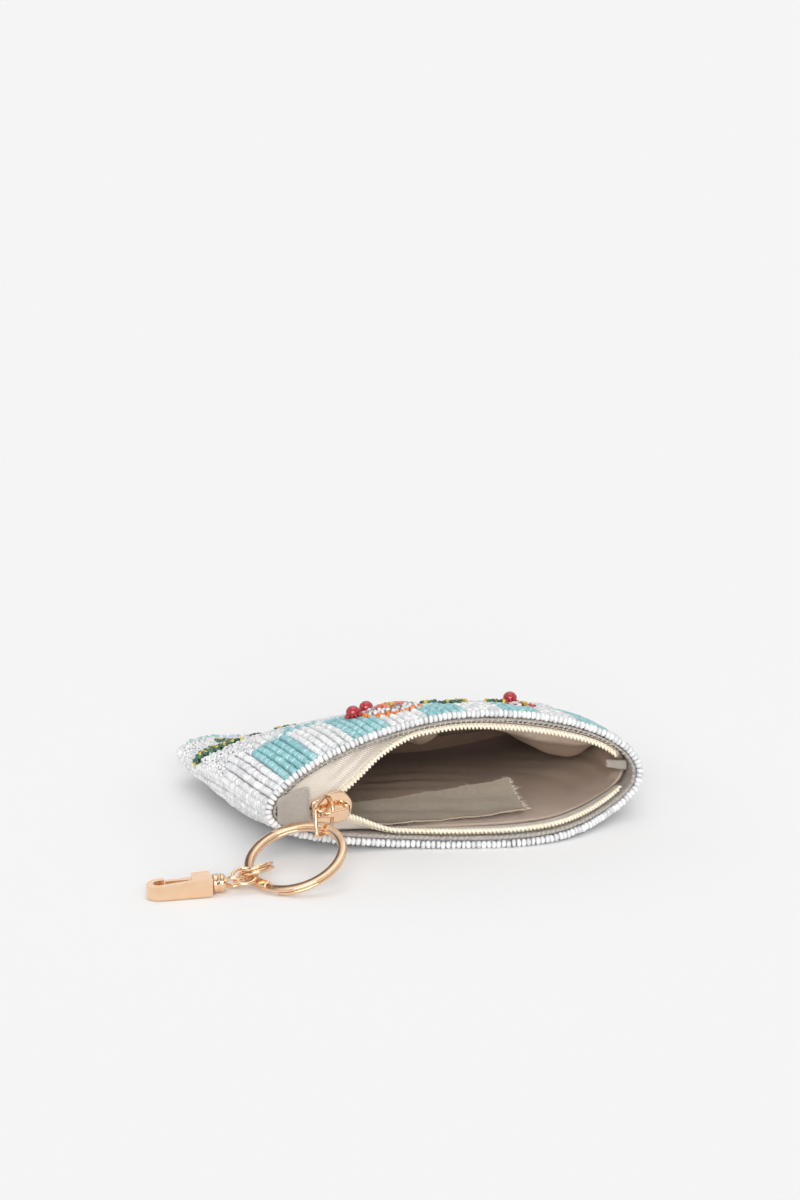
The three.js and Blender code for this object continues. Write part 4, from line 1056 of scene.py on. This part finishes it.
# %% [markdown]
# The zip ends under two small linen tabs. The left one is folded over the closed end and bows out a
# little, with a dark fold at its outer edge. The right one is rolled into the seam.


# %% Linen end tabs
LEFT_TAB = (9.4, 13.4)
LEFT_TAB_SET_IN = 1.2
RIGHT_TAB = (6, 3.2)
RIGHT_TAB_CLOTH = 3.4


def left_tab_place(u, v, depth):
    x = -MOUTH_HALF + EDGE_BEAD + LEFT_TAB_SET_IN + LEFT_TAB[0] * u
    z = SEAM_HEIGHT + 0.6 + LEFT_TAB[1] * (v - 0.5) * (0.4 + 0.6 * np.sqrt(u))
    bow = 0.9 * (1 - u) ** 2
    y = CLOSED_Y - (COIL_THICKNESS / 2 + GAP) - 0.5 + bow - 0.5 * np.sin(np.pi * v)
    soft = 0.1 * np.sin(9 * v + 5 * u)
    return np.stack([x, y - 1.1 * depth - soft * depth, z], axis=-1)


def right_tab_place(u, v, depth):
    x = MOUTH_HALF - TAPE_INSET + 0.1 - RIGHT_TAB[0] * u
    z = SEAM_HEIGHT + 0.6 + RIGHT_TAB[1] * (v - 0.5) * (1 - 0.25 * u) + 0.8 * u
    y = MOUTH_Y + 3.2 + 1.5 * u
    return np.stack([x, y + 1 - 2 * depth - 0.5 * np.sin(np.pi * v) * depth, z], axis=-1)


def folded_tab(name, place, width, height, stands_for):
    columns = 28
    rows = 24
    rings = []
    lay = []
    for i in range(columns):
        u = np.full(rows, i / (columns - 1))
        v = np.linspace(0, 1, rows)
        edge = min(1.0, 5 * min(i / (columns - 1), 1 - i / (columns - 1)) + 0.45)
        soft_rim = np.minimum(1, 6 * np.minimum(v, 1 - v) + 0.4)
        front = place(u, v, 0.5 + 0.5 * edge * soft_rim)
        rear = place(u, v, np.full(rows, 0.5 - 0.5 * edge))
        rings.append(np.concatenate([front, rear[::-1]]))
        both_v = np.concatenate([v, v[::-1]])
        lay.append(np.stack([np.concatenate([u, u]) * width, both_v * height], axis=1))
    lay = np.concatenate([[lay[0]], lay, [lay[-1]]])
    piece = mesh_piece(name, *skin(capped(np.array(rings))), linen_finish, "linen", uv=lay.reshape(-1, 2))
    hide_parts(stands_for)


folded_tab("left_tab_linen", left_tab_place, *LEFT_TAB, "zip_end_tab_left")
folded_tab("right_tab_linen", right_tab_place, RIGHT_TAB[0], RIGHT_TAB_CLOTH, "zip_end_tab_right")

# %% [markdown]
# All the metal has one finish: polished rose gold over cast zinc. Polished metal shows the room more
# than itself, so its colour is plain and the detail is in faint scratches and a soft change of
# roughness. The rings are swept again with rounded edges, because a sharp edge never catches light.

# %% Rose gold
gold_finish, tree, shader = finish_of("polished rose gold", (0.93, 0.65, 0.43), 0.1, metallic=1.0)
place = object_place(tree)
smear = node(tree, "TexNoise", {"Vector": place, "Scale": 320.0, "Detail": 4.0})
shade = ramp(tree, smear.outputs["Fac"], [(0.3, (0.90, 0.61, 0.39)), (0.7, (0.96, 0.69, 0.47))])
tree.links.new(shade, shader.inputs["Base Color"])
rough = node(tree, "MapRange", {"Value": smear.outputs["Fac"], "From Min": 0.3, "From Max": 0.75,
                                "To Min": 0.05, "To Max": 0.14})
tree.links.new(rough.outputs["Result"], shader.inputs["Roughness"])
stretched = node(tree, "Mapping", {"Vector": place, "Scale": (400, 4000, 900)})
scratch = node(tree, "TexNoise", {"Vector": stretched.outputs["Vector"], "Scale": 1.0, "Detail": 2.0})
bump(tree, shader, scratch.outputs["Fac"], 0.00001, 0.35)
for name in ("zip_slider", "kite_pull", "split_ring", "double_jump_ring", "small_link", "swivel_eye",
             "clasp_hook", "clasp_gate"):
    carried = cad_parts[name]
    carried.data.materials.clear()
    carried.data.materials.append(gold_finish)
print("all metal has", gold_finish.name)

# %% [markdown]
# The split ring is a flat band wound nearly twice, and it leans on the table and on the pouch. A torus
# would be quicker but shows no step between the turns, so a rounded section is wound along a helix.


# %% Split ring
def rounded_section(width, height, radius, steps=4):
    points = []
    for cx, cy, start in ((1, 1, 0), (-1, 1, 90), (-1, -1, 180), (1, -1, 270)):
        for k in range(steps + 1):
            a = math.radians(start + 90 * k / steps)
            points.append((cx * (width / 2 - radius) + radius * math.cos(a),
                           cy * (height / 2 - radius) + radius * math.sin(a)))
    return np.array(points)


def wound_wire(centre, up, side, axis, mean, section_points, turns, pitch, start, steps):
    share = np.linspace(0, 1, steps + (pitch != 0), endpoint=pitch != 0)
    a = math.radians(start) + 2 * np.pi * turns * share
    out = np.cos(a)[:, None] * up + np.sin(a)[:, None] * side
    lift = pitch * turns * (share - 0.5)
    outwards = (mean + section_points[:, 0])[None, :, None]
    upwards = (section_points[:, 1][None] + lift[:, None])[..., None]
    rings = centre + out[:, None] * outwards + axis * upwards
    if pitch:
        middle = rings.mean(axis=1, keepdims=True)
        near = middle + (rings - middle) * 0.86
        rings = capped(np.concatenate([near[:1], rings, near[-1:]]))
    return skin(rings, not pitch)


def direction(x, y, z):
    return unit(np.array([x, y, z], float))


SLIDER_X = -MOUTH_HALF + 20.1
RING_OUTER = 30
RING_BAND = 2.4
RING_TURN = 0.95
RING_MEAN = (RING_OUTER - RING_BAND) / 2
RING_BESIDE_SLIDER = 16.8
RING_BEFORE_MOUTH = 20.4
tilt = math.radians(23)
heading = math.radians(33)
ring_up = np.array([math.cos(heading) * math.cos(tilt), math.sin(heading) * math.cos(tilt), math.sin(tilt)])
ring_side = np.array([-math.sin(heading), math.cos(heading), 0])
ring_normal = np.cross(ring_up, ring_side)
ring_stack = 2 * RING_TURN + 0.12
ring_height = 0.35 + RING_OUTER / 2 * math.sin(tilt) + ring_stack / 2 * math.cos(tilt)
ring_centre = np.array([SLIDER_X - RING_BESIDE_SLIDER, MOUTH_Y - RING_BEFORE_MOUTH, ring_height])


def on_ring(degrees):
    a = math.radians(degrees)
    return ring_centre + RING_MEAN * (math.cos(a) * ring_up + math.sin(a) * ring_side)


points, faces = wound_wire(ring_centre, ring_up, ring_side, ring_normal, RING_MEAN,
                           rounded_section(RING_BAND, RING_TURN, 0.28), 1.96, RING_TURN + 0.12, 196, 300)
ring = mesh_piece("split_ring_band", points, faces, gold_finish, "rose_gold")
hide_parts("split_ring")

# %% [markdown]
# The jump ring is a wire wound nearly twice, and the link is a closed loop of thinner wire. They could
# hang anywhere, but each one's wire has to pass through the next one's hole with a small gap, so their
# places are steps from the ring's centre that were found by trying.


# %% Jump ring and link
def in_plane(v, normal):
    return unit(v - normal * (v @ normal))


JUMP_OUTER = 11
JUMP_WIRE = 1.1
JUMP_PITCH = 1.25
LINK_OUTER = 7.8
LINK_WIRE = 1.0


def round_wire(size, steps=4):
    return rounded_section(size, size, size / 2 - 0.001, steps)


jump_normal = direction(-0.118, 0.458, 0.882)
wire_end = in_plane(direction(-0.218, 0.854, -0.473), jump_normal)
jump_centre = ring_centre + [-11.606, 1.15, -3.069]
points, faces = wound_wire(jump_centre, wire_end, np.cross(jump_normal, wire_end), jump_normal,
                           (JUMP_OUTER - JUMP_WIRE) / 2, round_wire(JUMP_WIRE), 1.95, JUMP_PITCH, 0, 170)
jump = mesh_piece("jump_ring_wire", points, faces, gold_finish, "rose_gold")
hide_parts("double_jump_ring")

link_normal = direction(-0.079, -0.35, 0.934)
link_side = in_plane(direction(-1, 0, 0), link_normal)
link_centre = jump_centre + [-4.524, -3.478, 0.16]
points, faces = wound_wire(link_centre, link_side, np.cross(link_normal, link_side), link_normal,
                           (LINK_OUTER - LINK_WIRE) / 2, round_wire(LINK_WIRE), 1, 0, 0, 80)
link = mesh_piece("small_link_wire", points, faces, gold_finish, "rose_gold")
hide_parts("small_link")
print("ring centre", ring_centre.round(2), "jump", jump_centre.round(2), "link", link_centre.round(2))

# %% [markdown]
# The small castings are plates, straps and turned pins. The CAD solids could carry the finish as they
# are, but their facets show up close, so three helpers make the same outlines with rounded edges: a
# slab for a plate, a sweep for a strap or wire, and a turned profile for a pin.


# %% Slabs and sweeps
def rounded_corners(outline, rounds=2):
    outline = np.asarray(outline, float)
    for _ in range(rounds):
        following = np.roll(outline, -1, 0)
        near = outline * 0.78 + following * 0.22
        far = outline * 0.22 + following * 0.78
        outline = np.stack([near, far], axis=1).reshape(-1, 2)
    return outline


def slab(outline, thickness, radius, steps=4):
    ahead = unit(np.roll(outline, -1, 0) - np.roll(outline, 1, 0))
    inward = np.stack([-ahead[:, 1], ahead[:, 0]], axis=1)
    loops = []
    for side in (-1, 1):
        for k in range(steps + 1) if side < 0 else range(steps, -1, -1):
            a = 0.5 * math.pi * k / steps
            flat = outline + inward * (radius * (1 - math.sin(a)))
            height = side * (thickness / 2 - radius * (1 - math.cos(a)))
            loops.append(np.column_stack([flat, np.full(len(flat), height)]))
    first = np.repeat(loops[0].mean(axis=0, keepdims=True), len(outline), axis=0)
    last = np.repeat(loops[-1].mean(axis=0, keepdims=True), len(outline), axis=0)
    rings = np.array([first] + loops + [last])
    return skin(rings)


def sweep(path, section_points, fixed, closed=True):
    path = np.asarray(path, float)
    fixed = np.asarray(fixed, float)
    ahead = np.roll(path, -1, 0) - np.roll(path, 1, 0) if closed else np.gradient(path, axis=0)
    out = unit(np.cross(unit(ahead), fixed))
    sideways = out[:, None] * section_points[None, :, :1]
    rings = path[:, None] + sideways + fixed * section_points[None, :, 1:]
    return skin(rings if closed else capped(rings), closed)


def turned(profile, sides=40):
    angle = 2 * np.pi * np.arange(sides) / sides
    rings = np.array([[(x, r * math.cos(a), r * math.sin(a)) for a in angle] for x, r in profile])
    return skin(rings)


print("slab, sweep and turned are ready")

# %% [markdown]
# The slider is two cast plates that are joined by a post, with a strap over them for the pull. It could
# be carved from one block, but four plain pieces laid together are how the casting is drawn up.

# %% Slider
CHANNEL = COIL_THICKNESS / 2 + 1.5 * GAP
PLATE = 1.2
BRIDGE_GAP = 3.8
slider_roll = math.radians(-7)


def on_slider(points):
    x, y, z = np.asarray(points, float).T
    c = math.cos(slider_roll)
    s = math.sin(slider_roll)
    return np.stack([x * c + z * s, y, z * c - x * s], axis=1) + [SLIDER_X, CLOSED_Y, SEAM_HEIGHT]


arc = np.radians(np.linspace(-90, 90, 40))
plate_outline = [(1.575 + 4.725 * math.cos(a), 4.9 * math.sin(a)) for a in arc]
plate_outline += [
    (-1.89, 4.41), (-3.9, 3.53), (-6.3, 3.23), (-6.3, -3.23), (-3.9, -3.53), (-1.89, -4.41)]
plate_outline = rounded_corners(plate_outline)
slider_parts = []
for side in (-1, 1):
    points, faces = slab(plate_outline, PLATE, 0.42)
    slider_parts.append((points[:, [0, 2, 1]] + [0, side * (CHANNEL + PLATE / 2), 0], faces))
post = np.array([(1.49, -0.8), (3.29, -0.8), (3.29, 0.8), (1.49, 0.8)])
points, faces = slab(rounded_corners(post), 2 * CHANNEL + PLATE, 0.1)
slider_parts.append((points[:, [0, 2, 1]], faces))
STRAP_HALF = 4.1
STRAP_BEND = 1.9
strap_line = [(-STRAP_HALF, -CHANNEL - 0.4), (-STRAP_HALF, -CHANNEL - PLATE - 2.2)]
strap_top = -CHANNEL - PLATE - BRIDGE_GAP - 0.55
for a in np.radians(np.linspace(180, 90, 12)):
    strap_line.append((-STRAP_HALF + STRAP_BEND + STRAP_BEND * math.cos(a),
                       strap_top + STRAP_BEND - STRAP_BEND * math.sin(a)))
strap_line += [(-x, y) for x, y in strap_line[::-1]]
strap_path = [(x, y, 0) for x, y in strap_line]
slider_parts.append(sweep(strap_path, rounded_section(1.1, 1.8, 0.4), (0, 0, 1), closed=False))
points, faces = join(slider_parts)
slider = mesh_piece("slider_smooth", on_slider(points), faces, gold_finish, "rose_gold")
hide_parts("zip_slider")

# %% [markdown]
# The swivel's eye is a bent wire loop on a turned collar with two grooves, and its stem turns in the
# clasp. A lathe would turn the collar from a drawing, and a turned profile does the same here.

# %% Swivel eye
EYE_OUTER = 7
EYE_WIRE = 1.4
CLASP_HALF_HEIGHT = 5.2 / 2
clasp_axis = np.array([math.cos(math.radians(173)), math.sin(math.radians(173)), 0])
clasp_side = np.cross([0, 0, 1], clasp_axis)
eye_mean = (EYE_OUTER - EYE_WIRE) / 2
eye_centre = link_centre + [-3.04, 0.014, 0]
eye_centre[2] = GAP + CLASP_HALF_HEIGHT
eye_turn = math.radians(45)
up = np.array([0.0, 0.0, 1.0])
loop_side = clasp_side * math.cos(eye_turn) + up * math.sin(eye_turn)
loop_axis = up * math.cos(eye_turn) - clasp_side * math.sin(eye_turn)
eye_parts = [wound_wire(eye_centre, clasp_axis, loop_side, loop_axis, eye_mean, round_wire(EYE_WIRE, 5),
                        1, 0, 0, 90)]
start = eye_mean - 0.2
collar = [
    (-0.05, 0.0), (-0.05, 1.9), (0.25, 2.35), (0.75, 2.62), (1.5, 2.7), (1.62, 2.48), (1.9, 2.48),
    (2.02, 2.7), (3.3, 2.7), (3.62, 2.58), (3.78, 2.3), (3.8, 1.0), (6.9, 1.0), (6.9, 0.0)]
points, faces = turned([(start + x, r) for x, r in collar])
frame_of_clasp = np.stack([clasp_axis, clasp_side, up])
eye_parts.append((eye_centre + points @ frame_of_clasp, faces))
points, faces = join(eye_parts)
eye = mesh_piece("swivel_eye_smooth", points, faces, gold_finish, "rose_gold")
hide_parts("swivel_eye")
print("eye centre", eye_centre.round(3))

# %% [markdown]
# The pull is a flat wire bent to a kite, which hangs by its arch from the slider's strap and holds the
# split ring at its tip. Its length isn't typed in: it follows from where the strap and the ring lie.

# %% Kite pull
PULL_WIRE = 1.1
PULL_HALF = 5.8
PULL_WAIST = 0.53
PULL_TIP_ROOM = 1.6
HANG = 3.5
tunnel = on_slider([(0, -CHANNEL - PLATE - BRIDGE_GAP * 0.44, 0)])[0]
reach = on_ring(4) - tunnel
distance = np.linalg.norm(reach)
reach = reach / distance
face_out = np.array([0.0, -1.0, 0.0])
pull_normal = unit(face_out - reach * (face_out @ reach))
pull_across = np.cross(pull_normal, reach)
share = HANG / distance
down_share = math.sqrt(1 - share**2)
pull_right = pull_across * down_share - reach * share
pull_down = pull_across * share + reach * down_share
pull_origin = tunnel - pull_right * HANG - pull_down * 1.7
pull_tip = 1.7 + distance * down_share + RING_BAND / 2 + PULL_WIRE + PULL_TIP_ROOM
half = PULL_HALF - 0.66
waist = pull_tip * PULL_WAIST
tip = pull_tip - 0.74
arch = 4.1 - 0.55
bend = np.pi * np.linspace(0.14, 0.86, 20)
kite = [(arch * math.cos(a), arch + 0.55 - arch * math.sin(a)) for a in bend]
kite += [(-half, waist - 0.7), (-half, waist + 0.7), (-0.5, tip), (0.5, tip), (half, waist + 0.7),
         (half, waist - 0.7)]
kite = rounded_corners(kite, 3)
line = pull_origin + kite[:, :1] * pull_right + kite[:, 1:] * pull_down
points, faces = sweep(line, rounded_section(PULL_WIRE, 1.0, 0.45), pull_normal)
pull = mesh_piece("pull_wire", points, faces, gold_finish, "rose_gold")
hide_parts("kite_pull")

# %% [markdown]
# The clasp and its gate stay as the CAD made them. Cast parts have soft edges, so a bevel rounds every
# sharp edge, and weighted normals keep the flat faces flat.

# %% Soft edges on the cast parts
for name, width in (("clasp_hook", 0.32), ("clasp_gate", 0.2)):
    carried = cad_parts[name]
    carried.data.polygons.foreach_set("use_smooth", [True] * len(carried.data.polygons))
    soften = carried.modifiers.new("soft edges", "BEVEL")
    soften.width = width * MM
    soften.segments = 3
    soften.limit_method = "ANGLE"
    soften.angle_limit = math.radians(32)
    soften.harden_normals = True
    even = carried.modifiers.new("even light", "WEIGHTED_NORMAL")
    even.keep_sharp = True
    print(name, "has edges rounded by", width, "mm")

# %% [markdown]
# Three domed beads of red glass stand on the ornament like berries. The CAD has them as coarse domes,
# so each is turned again as a smooth dome with a collar of tiny red beads round its foot.


# %% Berries
def on_surface(across, depth):
    depth = np.array(float(depth))
    exponent = 2 / section("top_left" if across < 0 else "top_right", depth)
    turn = math.acos(math.copysign(abs(across) ** (1 / exponent), across))
    at = body_point(turn, depth, 0)
    sideways = body_point(turn - 0.02, depth, 0) - at
    backwards = body_point(turn, depth + 0.01, 0) - at
    return at, unit(np.cross(sideways, backwards)), unit(backwards)


berry_glass = bead_finish("berry glass", (0.30, 0.005, 0.015), (0.42, 0.01, 0.02), (0.55, 0.02, 0.03),
                          0.08, Coat_Weight=1.0, Coat_Roughness=0.03)
dome = [(-0.6, 0.0), (-0.6, 1.75), (0.3, 2.05)]
dome += [(3.0 * (0.3 + 0.7 * math.sin(a)), 2.2 * math.cos(a)) for a in np.radians(np.linspace(6, 90, 12))]
dome_points, dome_faces = turned(dome, 32)
BERRIES = (("berry_left", -0.4, 0.25), ("berry_middle", -0.31, 0.3), ("berry_right", 0.42, 0.27))
for name, across, depth in BERRIES:
    at, normal, along = on_surface(across, depth)
    basis = np.stack([normal, along, np.cross(normal, along)])
    parts = [(at + normal * GAP + dome_points @ basis, dome_faces)]
    template, faces = barrel(8, 0.55, 0.8)
    angle = 2 * np.pi * np.arange(13) / 13
    out = np.cos(angle)[:, None] * basis[1] + np.sin(angle)[:, None] * basis[2]
    centres = at + normal * 0.35 + out * 2.35
    round_about = np.cross(normal, out)
    parts.append(copies(template, faces, centres, round_about, np.repeat(normal[None], 13, axis=0)))
    points, faces = join(parts)
    berry = mesh_piece(name + "_glass", points, faces, berry_glass, "berry")
    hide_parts(name)

# %% [markdown]
# The photograph has a plain pale table with no edge and very soft shade. Lamps close by would leave a
# bright patch on it, so two wide soft suns and a pale sky light it evenly. Two dark bands in the sky
# give the metal something dark to show, as the black cards of a studio do.

# %% Table, light and end
mesh = bpy.data.meshes.new("table")
mesh.from_pydata([(-30, -30, 0), (30, -30, 0), (30, 30, 0), (-30, 30, 0)], [], [(0, 1, 2, 3)])
table = bpy.data.objects.new("table", mesh)
bpy.context.scene.collection.objects.link(table)
table_finish, tree, shader = finish_of("pale table", (0.90, 0.90, 0.90), 1.0, Specular_IOR_Level=0.0)
mesh.materials.append(table_finish)

world = bpy.data.worlds.new("studio air")
bpy.context.scene.world = world
world.use_nodes = True
air = world.node_tree
look = node(air, "TexCoord").outputs["Generated"]
height = node(air, "SeparateXYZ", {"Vector": look}).outputs["Z"]
SKY = [
    (0.0, (0.80, 0.80, 0.81)), (0.08, (0.06, 0.05, 0.05)), (0.24, (0.08, 0.07, 0.07)),
    (0.29, (1.0, 1.0, 1.0)), (0.60, (1.0, 1.0, 1.0)), (0.66, (0.16, 0.15, 0.15)),
    (0.78, (0.2, 0.19, 0.19)), (0.84, (1.0, 1.0, 1.0))]
glow = ramp(air, height, SKY)
air.links.new(glow, air.nodes["Background"].inputs["Color"])
air.nodes["Background"].inputs["Strength"].default_value = 0.95


def soft_sun(name, heading, height, strength, angle):
    data = bpy.data.lights.new(name, "SUN")
    data.energy = strength
    data.angle = math.radians(angle)
    lamp = bpy.data.objects.new(name, data)
    bpy.context.scene.collection.objects.link(lamp)
    h = math.radians(heading)
    e = math.radians(height)
    towards = Vector((math.cos(h) * math.cos(e), math.sin(h) * math.cos(e), math.sin(e)))
    lamp.rotation_euler = towards.to_track_quat("Z", "Y").to_euler()
    lamp.location = towards


soft_sun("overhead sun", 60, 68, 0.35, 55)
soft_sun("front sun", -108, 20, 2.1, 45)
view = bpy.context.scene.view_settings
view.view_transform = "Standard"
view.look = "None"
